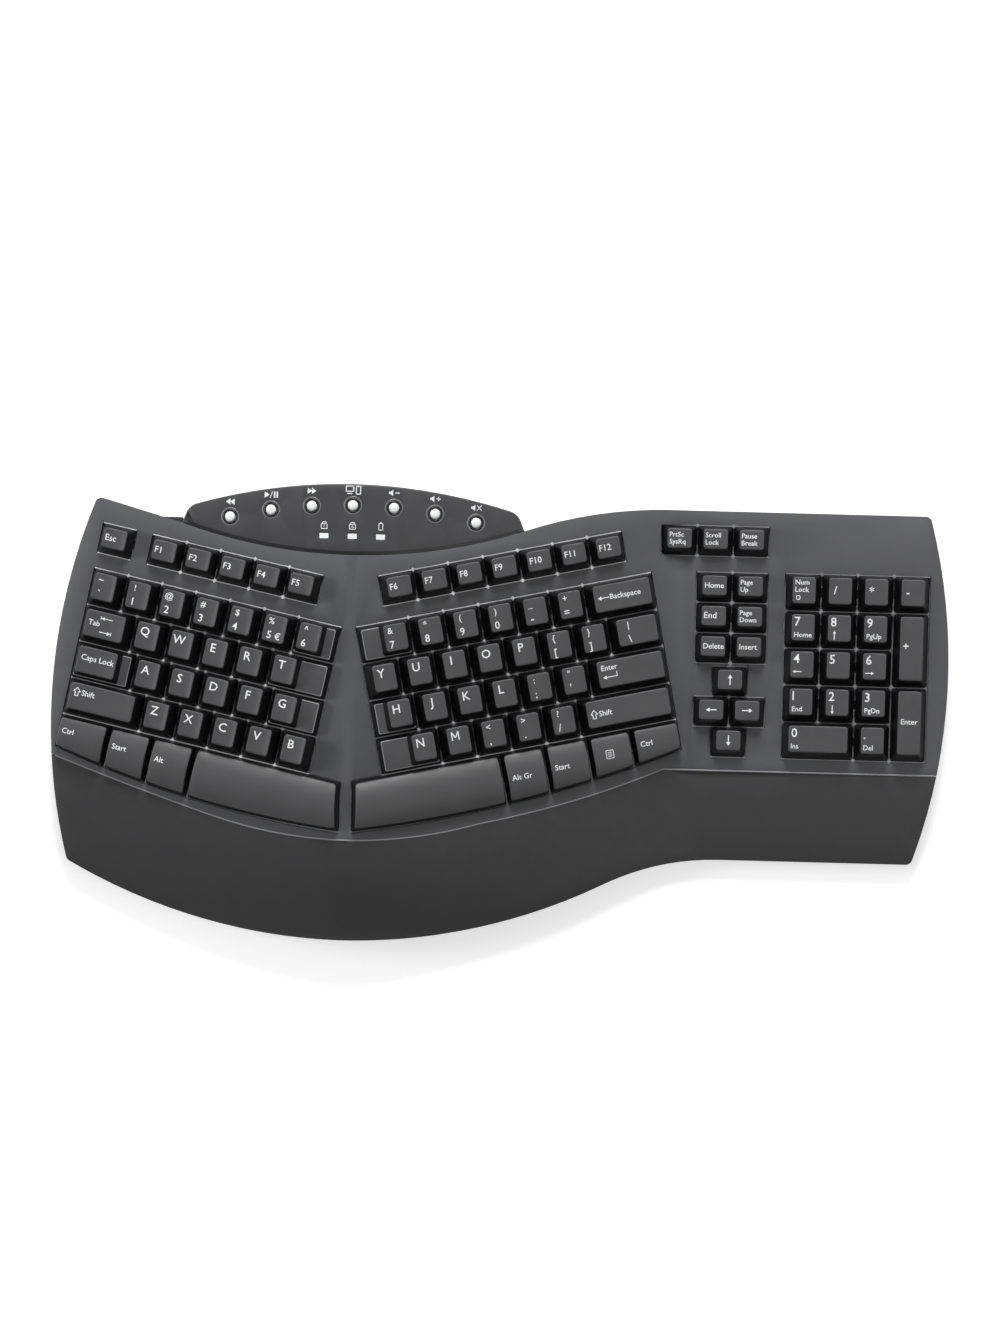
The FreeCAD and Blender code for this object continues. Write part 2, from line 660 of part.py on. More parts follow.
def nav_window():
    """Six navigation keys over the arrow keys, in one opening."""
    left = NAV_X - 0.5 * NAV
    right = NAV_X + 1.5 * NAV
    top = NAV_Y + 0.5 * NAV_ROW
    low = NAV_Y - 2.5 * NAV_ROW
    side = UP_Y - 0.5 * NAV_ROW
    side_low = side - NAV_ROW
    return polygon([
        (left, low), (left, top), (right, top), (right, low),
        (ARROW_X + 0.5 * NAV, low), (ARROW_X + 0.5 * NAV, side),
        (right, side), (right, side_low), (ARROW_X + 0.5 * NAV, side_low),
        (ARROW_X + 0.5 * NAV, side_low - NAV_ROW), (ARROW_X - 0.5 * NAV, side_low - NAV_ROW),
        (ARROW_X - 0.5 * NAV, side_low), (left, side_low), (left, side),
        (ARROW_X - 0.5 * NAV, side), (ARROW_X - 0.5 * NAV, low),
    ])


SYSTEM_WINDOW = rectangle(PRINT_X - 0.5 * NAV, PRINT_Y - 0.5 * NAV_ROW,
                          PRINT_X + 2.5 * NAV, PRINT_Y + 0.5 * NAV_ROW)
WINDOWS = [
    (LEFT, field_window(LEFT)),
    (LEFT, function_window(ESCAPE_X, 1)),
    (LEFT, function_window(F1_X, 5)),
    (RIGHT, field_window(RIGHT)),
    (RIGHT, function_window(F6_X, 7)),
    (PAD, SYSTEM_WINDOW),
    (PAD, nav_window()),
    (PAD, rectangle(-0.5 * PAD_COLUMN, -4.5 * PAD_ROW, 3.5 * PAD_COLUMN, 0.5 * PAD_ROW)),
]


def window_prisms(grow, low, high):
    return [field.raised(grown(face, grow), low, high) for field, face in WINDOWS]


# Screws: plan places under the deck and under the palm rest
DECK_SCREWS = [(-202.5, 100.2), (205.0, 96.0), (CREST, -12.0), (60.0, 100.6)]
PALM_SCREWS = [(-205.0, -62.0), (-20.0, -88.0), (110.0, -48.0), (205.0, -48.0)]


def ring_face(radius, sides):
    """A regular polygon in the XY plane with a corner on the X axis."""
    return polygon([(radius * math.cos(2 * math.pi * k / sides),
                     radius * math.sin(2 * math.pi * k / sides)) for k in range(sides)])


PILLAR_SIDES = 6


def pillar(place, radius, low, high):
    """An upright post or hole. Hidden small ones are many-sided, not round."""
    solid = prism(ring_face(radius, PILLAR_SIDES), low, high)
    solid.translate(Vector(place[0], place[1], 0))
    return solid


def with_bosses(shell, places, ceiling):
    """The shell with screw bosses that hang from it, each with its pilot hole."""
    low = size("case_split")
    bosses = [pillar(place, size("boss_radius"), low, TALL).common(ceiling)
              for place in places]
    pilots = [pillar(place, size("screw_radius") + size("pin_play"), low - 1,
                     size("head_seat") + size("screw_shank") + size("part_play"))
              for place in places]
    return shell.fuse(bosses).removeSplitter().cut(pilots)


NODES = []


def add_node(name, shape, placement=None):
    """A sub-part whose shape is worked out from the sizes."""
    node = doc.addObject("Part::Feature", name)
    node.Label = name
    node.Shape = shape
    if placement is not None:
        node.Placement = placement
    NODES.append(node)
    return node


def keep(thing, name):
    """Make an object of the document a sub-part."""
    thing.Label = name
    NODES.append(thing)
    return thing


# Shells

MEDIA_CREST = size("media_crest_radius")
MEDIA_UNDERSIDE = size("media_sink") + size("media_panel_wall")


def make_top_case():
    split = size("case_split")
    wall = size("side_wall")
    outer = prism(DECK_PLAN, split, TALL).common(under_deck(0))
    around_panel = prism(straightened(grown(MEDIA_PLAN, wall), HIDDEN_SAG), split, TALL).cut(
        under_deck(MEDIA_UNDERSIDE + wall, MEDIA_CREST))
    plan = straightened(grown(DECK_PLAN, -wall), HIDDEN_SAG)
    cavity = prism(plan, split - 1, TALL).common(
        under_deck(size("deck_wall"))).cut(around_panel)
    recess = prism(MEDIA_PLAN, split, TALL).cut(under_deck(MEDIA_UNDERSIDE, MEDIA_CREST))
    opening = prism(straightened(grown(MEDIA_PLAN, -size("media_ledge")), HIDDEN_SAG),
                    split + 1, TALL)
    windows = window_prisms(size("window_margin"), -size("deck_wall") - 1.5, 6.0)
    shell = outer.cut(cavity).cut([recess, opening] + windows)
    ceiling = under_deck(size("deck_wall"))
    return with_bosses(shell, DECK_SCREWS, ceiling)


def make_palm_rest():
    split = size("case_split")
    outer = prism(PALM_PLAN, split, TALL).common(under_palm(0))
    ceiling = palm_hollow()
    plan = straightened(grown(PALM_PLAN, -size("side_wall")), HIDDEN_SAG)
    cavity = prism(plan, split - 1, TALL).common(ceiling)
    return with_bosses(outer.cut(cavity), PALM_SCREWS, ceiling)


add_node("top_case", make_top_case())
add_node("palm_rest", make_palm_rest())


# Media panel, its buttons, board and indicator lenses

def media_field(x, y):
    """A frame on the media panel's surface, square to it."""
    reach = MEDIA_CREST * math.sin(TENT)
    offset = max(-reach, min(reach, x - CREST))
    angle = math.asin(offset / MEDIA_CREST)
    if abs(x - CREST) < reach:
        fall = MEDIA_CREST * (1 / math.cos(TENT) - math.cos(angle))
        height = CREST_HEIGHT - fall + SLOPE * y
    else:
        height = deck_height(x, y)
    field = Field(-math.tan(angle), 0.0, (x, y), (0.0, 0.0))
    field.origin = Vector(x, y, height) - field.z * size("media_sink")
    field.place.Base = field.origin
    return field


MEDIA_BUTTONS = ["previous_button", "play_button", "next_button", "application_button",
                 "volume_down_button", "volume_up_button", "mute_button"]


def media_button_place(index):
    offset = (index - 3) * size("media_button_pitch")
    radius = size("media_button_arc")
    return (CREST + offset,
            size("media_button_level") - radius + math.sqrt(radius ** 2 - offset ** 2))


MEDIA_STUDS = [-3.5, -1.5, 1.5, 3.5]


def lens_places():
    return [(CREST + step * size("lens_pitch"), size("lens_level")) for step in (-1, 0, 1)]


def lens_block(play):
    half_width = size("lens_width") / 2 + play
    half_depth = size("lens_depth") / 2 + play
    return rectangle(-half_width, -half_depth, half_width, half_depth)


BUTTON_SIDES = 10
STUD_SIDES = 6


def make_media_panel():
    panel = prism(grown(MEDIA_PLAN, -size("part_play")), 0, TALL).common(
        band(size("media_sink"), MEDIA_UNDERSIDE, MEDIA_CREST))
    wall = size("media_panel_wall")
    tools = []
    for index in range(len(MEDIA_BUTTONS)):
        hole = ring_face(size("media_button_radius") + size("media_button_play"), BUTTON_SIDES)
        tools.append(media_field(*media_button_place(index)).raised(hole, -wall - 1, 2.0))
    for place in lens_places():
        tools.append(media_field(*place).raised(lens_block(size("pin_play")), -wall - 1, 2.0))
    studs = []
    board = under_deck(MEDIA_UNDERSIDE + size("media_stud"), MEDIA_CREST)
    for step in MEDIA_STUDS:
        studs.append(media_field(*media_button_place(3 + step)).raised(
            ring_face(1.5, STUD_SIDES), -wall - size("media_stud") - 1, -wall / 2).cut(board))
    return panel.cut(tools).fuse(studs)


add_node("media_panel", make_media_panel())

lenses = []
for place in lens_places():
    lenses.append(media_field(*place).raised(lens_block(0.0), -size("media_panel_wall"), 0.0))
add_node("indicator_lenses", Part.makeCompound(lenses))


def make_media_board():
    upper = MEDIA_UNDERSIDE + size("media_stud")
    plan = straightened(grown(MEDIA_PLAN, -size("media_ledge") - size("stack_play")),
                        HIDDEN_SAG / 2)
    board = prism(plan, 0, TALL).common(
        band(upper, upper + size("media_board_wall"), MEDIA_CREST))
    top = size("media_sink") - upper
    switches = [media_field(*media_button_place(index)).raised(
        rectangle(-1.7, -1.7, 1.7, 1.7), top - size("media_board_wall") / 2,
        top + size("media_switch")) for index in range(len(MEDIA_BUTTONS))]
    return board.fuse(switches)


add_node("media_board", make_media_board())


def turned(name, radius, low, high, sides=BUTTON_SIDES):
    """An upright round solid between two heights, with its sizes bound to the sheet."""
    solid = doc.addObject("Part::Prism", name)
    solid.Polygon = sides
    return bind(solid, Circumradius=radius, Height="(%s) - (%s)" % (high, low),
                Placement__Base__z=low)


def fused(name, *things):
    union = doc.addObject("Part::MultiFuse", name)
    union.Shapes = list(things)
    return union


for index, name in enumerate(MEDIA_BUTTONS):
    panel_low = "-sizes.media_panel_wall - sizes.pin_play * 3"
    flange = turned(name + "_flange", "sizes.media_button_radius + 1", panel_low + " - 0.7",
                    panel_low, PILLAR_SIDES)
    collar = turned(name + "_collar", "sizes.media_button_radius", panel_low, "0.5")
    cap = turned(name + "_cap", "sizes.media_cap_radius", "0.5", "1.1")
    button = fused(name, flange, collar, cap)
    button.Placement = media_field(*media_button_place(index)).place
    keep(button, name)


# Key cells: node, field, kind, left, right, front and rear edge of each cell,
# and where a stepped key's raised part lies in it

class Key:
    def __init__(self, node, field, kind, x0, x1, y0, y1, main=None):
        self.node = node
        self.field = field
        self.kind = kind
        self.x0, self.x1, self.y0, self.y1 = x0, x1, y0, y1
        self.main = main or (x0, x1)

    def middle(self):
        return ((self.x0 + self.x1) / 2, (self.y0 + self.y1) / 2)

    def stem(self):
        return ((self.main[0] + self.main[1]) / 2, (self.y0 + self.y1) / 2)


KEYS = []


def add_row(node, field, kind, x, y, widths, column, depth):
    """Keys side by side from x, given in key widths. Returns where the row ends."""
    for width in widths:
        KEYS.append(Key(node, field, kind, x, x + width * column, y - depth / 2, y + depth / 2))
        x += width * column
    return x


def stepped(node, field, x, row, width, raised, low_side):
    """One key whose raised part leaves a low step on its left or right side."""
    x1 = x + width * COLUMN
    y = -row * ROW
    if low_side == "right":
        main = (x, x + raised * COLUMN)
    else:
        main = (x1 - raised * COLUMN, x1)
    KEYS.append(Key(node, field, "letter", x, x1, y - ROW / 2, y + ROW / 2, main))
    return x1


def letters(node, field, x, row, widths):
    return add_row(node, field, "letter", x, -row * ROW, widths, COLUMN, ROW)


def add_field_keys():
    x = letters("number_keys_left", LEFT, 0.0, 0, [1] * 6)
    stepped("number_keys_left", LEFT, x, 0, 1.25, 1.0, "right")
    x = letters("tab_key", LEFT, 0.0, 1, [1.5])
    x = letters("top_row_left", LEFT, x, 1, [1] * 4)
    stepped("top_row_left", LEFT, x, 1, 1.75, 1.0, "right")
    x = stepped("caps_lock_key", LEFT, 0.0, 2, 1.75, 1.5, "right")
    x = letters("home_row_left", LEFT, x, 2, [1] * 4)
    stepped("home_row_left", LEFT, x, 2, 1.5, 1.0, "right")
    x = letters("shift_key_left", LEFT, 0.0, 3, [2.25])
    letters("lower_row_left", LEFT, x, 3, [1] * 5)

    x = stepped("number_keys_right", RIGHT, 0.0, 0, 1.5, 1.0, "left")
    x = letters("number_keys_right", RIGHT, x, 0, [1] * 5)
    letters("backspace_key", RIGHT, x, 0, [2])
    x = letters("top_row_right", RIGHT, 0.0, 1, [1] * 7)
    letters("backslash_key", RIGHT, x, 1, [1.5])
    x = stepped("home_row_right", RIGHT, 0.0, 2, 1.25, 1.0, "left")
    x = letters("home_row_right", RIGHT, x, 2, [1] * 5)
    letters("enter_key", RIGHT, x, 2, [2.25])
    x = stepped("lower_row_right", RIGHT, 0.0, 3, 1.75, 1.0, "left")
    x = letters("lower_row_right", RIGHT, x, 3, [1] * 4)
    letters("shift_key_right", RIGHT, x, 3, [2.75])


def add_function_keys():
    depth = size("function_depth")
    half = 0.5 * COLUMN
    add_row("escape_key", LEFT, "low", ESCAPE_X - half, FUNCTION_Y, [1], COLUMN, depth)
    add_row("function_keys_left", LEFT, "low", F1_X - half, FUNCTION_Y, [1] * 5, COLUMN, depth)
    add_row("function_keys_right", RIGHT, "low", F6_X - half, FUNCTION_Y, [1] * 7, COLUMN,
            depth)


def add_side_keys():
    half = 0.5 * NAV
    add_row("system_keys", PAD, "low", PRINT_X - half, PRINT_Y, [1] * 3, NAV, NAV_ROW)
    for row in range(3):
        add_row("navigation_keys", PAD, "low", NAV_X - half, NAV_Y - row * NAV_ROW, [1] * 2,
                NAV, NAV_ROW)
    add_row("arrow_keys", PAD, "low", ARROW_X - half, UP_Y, [1], NAV, NAV_ROW)
    add_row("arrow_keys", PAD, "low", NAV_X - half, UP_Y - NAV_ROW, [1] * 2, NAV, NAV_ROW)
    add_row("arrow_keys", PAD, "low", ARROW_X - half, UP_Y - 2 * NAV_ROW, [1], NAV, NAV_ROW)


def add_pad_keys():
    left = -0.5 * PAD_COLUMN
    right = 2.5 * PAD_COLUMN
    nodes = ["pad_top_keys", "pad_keys_789", "pad_keys_456", "pad_keys_123"]
    for row, node in enumerate(nodes):
        count = 4 if row == 0 else 3
        add_row(node, PAD, "pad", left, -row * PAD_ROW, [1] * count, PAD_COLUMN, PAD_ROW)
    add_row("pad_plus_key", PAD, "pad", right, -1.5 * PAD_ROW, [1], PAD_COLUMN, 2 * PAD_ROW)
    add_row("pad_enter_key", PAD, "pad", right, -3.5 * PAD_ROW, [1], PAD_COLUMN, 2 * PAD_ROW)
    x = add_row("pad_zero_key", PAD, "pad", left, -4 * PAD_ROW, [2], PAD_COLUMN, PAD_ROW)
    add_row("pad_keys_123", PAD, "pad", x, -4 * PAD_ROW, [1], PAD_COLUMN, PAD_ROW)


add_field_keys()
add_function_keys()
add_side_keys()
add_pad_keys()

# Keycaps: a tapered cap with a finger dish and a stem. Keys of one size share one
# cap, which each key node repeats at its places. They repeat so often that they
# stay solid inside; the large bottom caps, further down, are hollow.

KIND_SIZES = {
    # kind: height, sides, rear, front
    "letter": ("cap_height", "cap_side", "cap_rear", "cap_front"),
    "pad": ("pad_cap_height", "cap_side", "cap_rear", "cap_front"),
    "low": ("low_cap_height", "low_cap_side", "low_cap_rear", "low_cap_front"),
}


# The dish is cut with a large many-sided prism, so few facets make it up. One flat
# lies at the bottom and the outer ones end just past the cap's sides.
DISH_FACETS = 3


def wedge(name, middle, along, deep, foot, top, draw):
    """A tapered block. Draw holds how far its left, right, rear and front lean in."""
    left, right, rear, front = draw
    block = doc.addObject("Part::Wedge", name)
    block.Placement = Placement(Vector(), Rotation(Vector(1, 0, 0), 90))
    half = "(%s) / 2" % along
    deep_half = "(%s) / 2" % deep
    return bind(
        block, Xmin="-" + half, Xmax=half, Zmin="-" + deep_half, Zmax=deep_half,
        X2min="-%s + %s" % (half, left), X2max="%s - %s" % (half, right),
        Z2min="-%s + %s" % (deep_half, rear), Z2max="%s - %s" % (deep_half, front),
        Ymin=foot, Ymax=top, Placement__Base__x=middle)


def keycap(name, kind, along, deep, main_along, main_middle):
    """A cap around the middle of its cell. All sizes are expressions."""
    height, side, rear, front = ["sizes." + alias for alias in KIND_SIZES[kind]]
    gap = "sizes.cap_gap"
    draw = (side, side, rear, front)
    body_along = "%s - %s" % (main_along, gap)
    body_deep = "%s - %s" % (deep, gap)
    body = wedge(name + "_body", main_middle, body_along, body_deep, "sizes.cap_foot",
                 height, draw)
    outer = [body]
    if main_along != along:
        low = "sizes.step_side"
        step_draw = (low, low, low, low)
        step_along = "%s - %s" % (along, gap)
        outer.append(wedge(name + "_step", "0", step_along, body_deep, "sizes.cap_foot",
                           "sizes.step_height", step_draw))
    top_along = "(%s - 2 * %s)" % (body_along, side)
    doc.recompute()
    width = body.X2max.Value - body.X2min.Value
    dish = doc.addObject("Part::Prism", name + "_dish")
    dish.Polygon = round(DISH_FACETS * math.pi / (2 * math.atan(2 * size("dish") / width)))
    edge_angle = 180.0 * DISH_FACETS / dish.Polygon
    radius = "(%s / 2 + sizes.dish_edge) / sin(%.9g)" % (top_along, edge_angle)
    bind(dish, Circumradius=radius, Height="2 * (%s)" % deep,
         Placement__Base__x=main_middle, Placement__Base__y=deep,
         Placement__Base__z="%s + %s * cos(%.9g)" % (height, radius, edge_angle))
    doc.recompute()
    dish.Placement = Placement(dish.Placement.Base, Rotation(Vector(1, 0, 0), 90).multiply(
        Rotation(Vector(0, 0, 1), 180 / dish.Polygon - 90)))
    stem = doc.addObject("Part::Box", name + "_stem")
    bind(stem, Length="sizes.stem_width", Width="sizes.stem_depth",
         Height="sizes.stem_foot + sizes.cap_foot + 1",
         Placement__Base__x="%s - sizes.stem_width / 2" % main_middle,
         Placement__Base__y="-sizes.stem_depth / 2", Placement__Base__z="-sizes.stem_foot")
    dished = doc.addObject("Part::Cut", name + "_dished")
    dished.Base = fused(name + "_outer", *outer) if len(outer) > 1 else body
    dished.Tool = dish
    return fused(name, dished, stem)


def cap_signature(key):
    """Which cap a key takes: its kind and its widths in key pitches."""
    pitch = {LEFT: COLUMN, RIGHT: COLUMN}.get(key.field, PAD_COLUMN if key.kind == "pad"
                                             else NAV)
    deep = 2 if key.kind == "pad" and key.y1 - key.y0 > 1.5 * PAD_ROW else 1
    middle = key.stem()[0] - key.middle()[0]
    return (key.kind, key.field is PAD, round((key.x1 - key.x0) / pitch, 3), deep,
            round((key.main[1] - key.main[0]) / pitch, 3), round(middle / pitch, 3))


def make_cap(signature, number):
    kind, on_pad, along, deep, main, middle = signature
    if kind == "pad":
        column, row = "sizes.pad_column", "sizes.pad_row"
    elif kind == "letter":
        column, row = "sizes.alpha_column", "sizes.alpha_row"
    elif on_pad:
        column, row = "sizes.nav_column", "sizes.nav_row"
    else:
        column, row = "sizes.alpha_column", "sizes.function_depth"
    return keycap("cap_%d" % number, kind, "%g * %s" % (along, column),
                  "%g * %s" % (deep, row), "%g * %s" % (main, column),
                  "%g * %s" % (middle, column))


CAPS = {}
for key in KEYS:
    signature = cap_signature(key)
    if signature not in CAPS:
        CAPS[signature] = make_cap(signature, len(CAPS) + 1)
doc.recompute()


def placed(shape, x, y):
    copy = shape.copy()
    copy.translate(Vector(x, y, 0))
    return copy


def over_bend(field, x):
    """Does a stem of the flat zone stand where the layers bend up to the right field?"""
    return field is PAD and field.origin.x + x - size("dome_foot") < PAD_EDGE


key_nodes = {}
for key in KEYS:
    solid = placed(CAPS[cap_signature(key)].Shape, *key.middle())
    if over_bend(key.field, key.stem()[0]):
        bent = under_deck(size("stem_foot"))
        bent.Placement = key.field.place.inverse()
        solid = solid.cut(bent)
    key_nodes.setdefault(key.node, (key.field, []))[1].append(solid)

# Bottom row: large caps with rolled tops, whose fronts follow the curved window

THUMB_SIDE = 1.2
THUMB_REAR = 1.0
THUMB_FRONT = 1.8
THUMB_CROWN = 42.0
THUMB_CROWN_SIDES = 48
THUMB_STRAIGHT = 40.0
THUMB_ROOF = size("thumb_cap_height") - size("cap_roof") - 1.6


ROD_SIDES = 6


def rod(first, last, radius, sides=ROD_SIDES):
    """A straight many-sided rod between two points, one of its flats upwards."""
    along = last - first
    turn = Rotation(Vector(0, 0, 1), along)
    ring = [Vector(radius * math.cos(2 * math.pi * (k + 0.5) / sides),
                   radius * math.sin(2 * math.pi * (k + 0.5) / sides), 0)
            for k in range(sides)]
    face = Part.Face(Part.makePolygon(ring + ring[:1]))
    solid = face.extrude(Vector(0, 0, along.Length))
    solid.Placement = Placement(first, turn)
    return solid


def drawn_in(points, distances):
    """A counter-clockwise ring of plan points, each side moved in by its own distance."""
    sides = []
    for k, point in enumerate(points):
        after = points[(k + 1) % len(points)]
        along = Vector(after[0] - point[0], after[1] - point[1], 0).normalize()
        sides.append((Vector(point[0], point[1], 0) + Vector(-along.y, along.x, 0) * distances[k],
                      along))
    corners = []
    for k in range(len(points)):
        (start, u), (other, v) = sides[k - 1], sides[k]
        gap = other - start
        share = (gap.x * v.y - gap.y * v.x) / (u.x * v.y - u.y * v.x)
        corners.append((start.x + u.x * share, start.y + u.y * share))
    return corners


def between(lower, upper, low, high):
    """The flat-sided solid between two rings of plan points at two heights."""
    foot = [Vector(x, y, low) for x, y in lower]
    top = [Vector(x, y, high) for x, y in upper]
    faces = [Part.Face(Part.makePolygon(foot + foot[:1])),
             Part.Face(Part.makePolygon(top + top[:1]))]
    for k in range(len(foot)):
        after = (k + 1) % len(foot)
        faces.append(Part.Face(Part.makePolygon(
            [foot[k], foot[after], top[after], top[k], foot[k]])))
    return Part.Solid(Part.Shell(faces))


def thumb_cell(field, left, right):
    """Corners of a bottom row cell. Left and right give field X for a field Y."""
    low = thumb_front(field, (left(-80.0) + right(-80.0)) / 2)
    x0, x1 = left(low), right(low)
    pieces = 1 if x1 - x0 < THUMB_STRAIGHT else 4
    points = [(right(FIELD_BOTTOM), FIELD_BOTTOM), (left(FIELD_BOTTOM), FIELD_BOTTOM)]
    for k in range(pieces + 1):
        x = x0 + (x1 - x0) * k / pieces
        points.append((x, thumb_front(field, x)))
    return points


def thumb_cap(field, left, right):
    """A hollow bottom row cap with its stem. Returns the solid and the stem's place."""
    top = size("thumb_cap_height")
    cell = thumb_cell(field, left, right)
    fronts = len(cell) - 3
    draw = [THUMB_REAR, THUMB_SIDE] + [THUMB_FRONT] * fronts + [THUMB_SIDE]
    foot = drawn_in(cell, [size("cap_gap") / 2] * len(cell))
    inner = drawn_in(foot, [size("cap_wall")] * len(cell))
    block = between(foot, drawn_in(foot, draw), size("cap_foot"), top)
    hollow = between(inner, drawn_in(inner, draw), size("cap_foot") - 0.01, THUMB_ROOF)
    y_mid = (FIELD_BOTTOM + thumb_front(field, (left(-80.0) + right(-80.0)) / 2)) / 2
    x_mid = (left(y_mid) + right(y_mid)) / 2
    crown = rod(Vector(-REACH, y_mid, top - THUMB_CROWN), Vector(REACH, y_mid, top - THUMB_CROWN),
                THUMB_CROWN, THUMB_CROWN_SIDES)
    stem = Part.makeBox(size("stem_width"), size("stem_depth"),
                        size("stem_foot") + THUMB_ROOF + 0.2,
                        Vector(x_mid - size("stem_width") / 2, y_mid - size("stem_depth") / 2,
                               -size("stem_foot")))
    return block.common(crown).cut(hollow).fuse(stem), (x_mid, y_mid)


def upright(x):
    return lambda y: x


THUMB_LEFT = [0.0, 1.5 * COLUMN, 2.75 * COLUMN, 4.0 * COLUMN]
THUMB_RIGHT = [3.35 * COLUMN, 4.6 * COLUMN, 5.85 * COLUMN, 7.1 * COLUMN, 8.5 * COLUMN]
THUMB_SPACES = (3, 4)
thumb_stems = []


def add_thumb(node, field, left, right):
    solid, place = thumb_cap(field, left, right)
    key_nodes.setdefault(node, (field, []))[1].append(solid)
    thumb_stems.append((field, place))


for x0, x1 in zip(THUMB_LEFT, THUMB_LEFT[1:]):
    add_thumb("modifier_keys_left", LEFT, upright(x0), upright(x1))
add_thumb("space_bar_left", LEFT, upright(THUMB_LEFT[-1]), lambda y: thumb_end(LEFT, y))
add_thumb("space_bar_right", RIGHT, lambda y: thumb_end(RIGHT, y), upright(THUMB_RIGHT[0]))
for x0, x1 in zip(THUMB_RIGHT, THUMB_RIGHT[1:]):
    add_thumb("modifier_keys_right", RIGHT, upright(x0), upright(x1))

# Under each space bar a bent wire keeps it level: it turns in two clips of the key
# frame, and the ends of its arms ride in two lugs of the bar.

WIRE_REST = math.asin(size("key_travel") / 2 / size("wire_arm"))


class Wire:
    """Where a space bar's wire lies in its field."""
    def __init__(self, field, stem):
        self.field = field
        self.x = stem[0]
        self.y = stem[1] - size("wire_arm") / 2
        self.z = size("wire_axis")
        self.tip_y = self.y + size("wire_arm") * math.cos(WIRE_REST)
        self.tip_z = self.z + size("key_travel") / 2

    def sides(self):
        return [(hand, self.x + hand * size("wire_span") / 2) for hand in (-1, 1)]


def make_wire(wire):
    """One wire with mitred bends: two tips, two arms and the long bar between."""
    (_, left), (_, right) = wire.sides()
    tips = [Vector(x, wire.tip_y, wire.tip_z) for x in (left, right)]
    path = Part.makePolygon([tips[0] + Vector(5.0, 0, 0), tips[0],
                             Vector(left, wire.y, wire.z), Vector(right, wire.y, wire.z),
                             tips[1], tips[1] - Vector(5.0, 0, 0)])
    end = rod(tips[0] + Vector(5.0, 0, 0), tips[0], size("wire_radius")).Faces
    start = min(end, key=lambda face: (face.CenterOfMass - tips[0] - Vector(5.0, 0, 0)).Length)
    return Part.Wire(path).makePipeShell([start.OuterWire], True, False, 1)


def wire_clips(wire):
    """Clips that stand on the key frame's floor and hold the wire's long bar."""
    hole = rod(Vector(wire.x - 30, wire.y, wire.z), Vector(wire.x + 30, wire.y, wire.z),
               (size("wire_radius") + size("pin_play")) / math.cos(math.pi / ROD_SIDES))
    clips = []
    for hand, x in wire.sides():
        inside = x - hand * 5.0
        clip = Part.makeBox(3.0, 3.4, 0.9 + wire.z + size("frame_floor") + 0.2,
                            Vector(inside - 1.5, wire.y - 1.7, -size("frame_floor") - 0.2))
        clips.append(clip.cut(hole))
    return clips


LUG_WIDTH = 2.0
LUG_DEPTH = 4.0
LUG_SLOT = 2.4
LUG_LIP = 0.65


def lug_place(wire, hand, x):
    """The lug's middle: it stands on the wire's tip, inside the arm."""
    return x - hand * 3.0, wire.tip_y


def wire_lugs(wire, roof):
    """Lugs under the bar, with slots for the ends of the wire's arms."""
    radius = size("wire_radius") + size("pin_play")
    lugs = []
    for side in wire.sides():
        x, y = lug_place(wire, *side)
        low = wire.tip_z - radius - LUG_LIP
        lug = Part.makeBox(LUG_WIDTH, LUG_DEPTH, roof + 0.2 - low,
                           Vector(x - LUG_WIDTH / 2, y - LUG_DEPTH / 2, low))
        slot = Part.makeBox(2 * LUG_WIDTH, LUG_SLOT, 2 * radius,
                            Vector(x - LUG_WIDTH, y - LUG_SLOT / 2, wire.tip_z - radius))
        lugs.append(lug.cut(slot))
    return lugs


def lug_openings(wire, low):
    """Openings in the key frame's floor, where the lugs go when the bar is down."""
    half_x = LUG_WIDTH / 2 + size("part_play")
    half_y = LUG_DEPTH / 2 + size("part_play")
    tools = []
    for side in wire.sides():
        x, y = lug_place(wire, *side)
        face = rectangle(x - half_x, y - half_y, x + half_x, y + half_y)
        tools.append(wire.field.raised(face, -low - 1.0, 0.0))
    return tools


WIRES = []
for name, place in (("space_bar_left", thumb_stems[THUMB_SPACES[0]]),
                    ("space_bar_right", thumb_stems[THUMB_SPACES[1]])):
    wire = Wire(*place)
    WIRES.append(wire)
    bar = key_nodes[name][1]
    bar[0] = bar[0].fuse(wire_lugs(wire, THUMB_ROOF))

for name, (field, solids) in key_nodes.items():
    add_node(name, Part.makeCompound(solids), field.place)
for name, wire in zip(("stabiliser_wire_left", "stabiliser_wire_right"), WIRES):
    add_node(name, make_wire(wire), wire.field.place)

STEMS = [(key.field, key.stem()) for key in KEYS] + thumb_stems


# Layers under the keys: key frame, rubber sheet, membrane and backing plate

def boss_clearances():
    """Room for the deck's screw bosses and, lower down, the posts of the base."""
    play = size("part_play")
    tools = []
    for place in DECK_SCREWS:
        tools.append(pillar(place, size("boss_radius") + play, 0, TALL))
        tools.append(pillar(place, size("post_radius") + play, 0, size("case_split") + play))
    return tools


def layer(plan, upper, lower):
    return prism(plan, 0, TALL).common(band(upper, lower)).cut(boss_clearances())


SHEET_LOW = size("sheet_depth") + size("rubber_sheet")
MEMBRANE_LOW = SHEET_LOW + size("membrane")
STACK_LOW = MEMBRANE_LOW + size("backing")


def guide_slots(plate_low):
    """Slots of the key frame: one guides all the stems that stand in one row."""
    rows = {}
    for field, (x, y) in STEMS:
        rows.setdefault((field, round(y, 3)), []).append(x)
    half_x = size("stem_width") / 2 + size("stem_play")
    half_y = size("stem_depth") / 2 + size("stem_play")
    return [field.raised(rectangle(min(places) - half_x, y - half_y, max(places) + half_x,
                                   y + half_y), -plate_low - 1.0, 0.0)
            for (field, y), places in rows.items()]


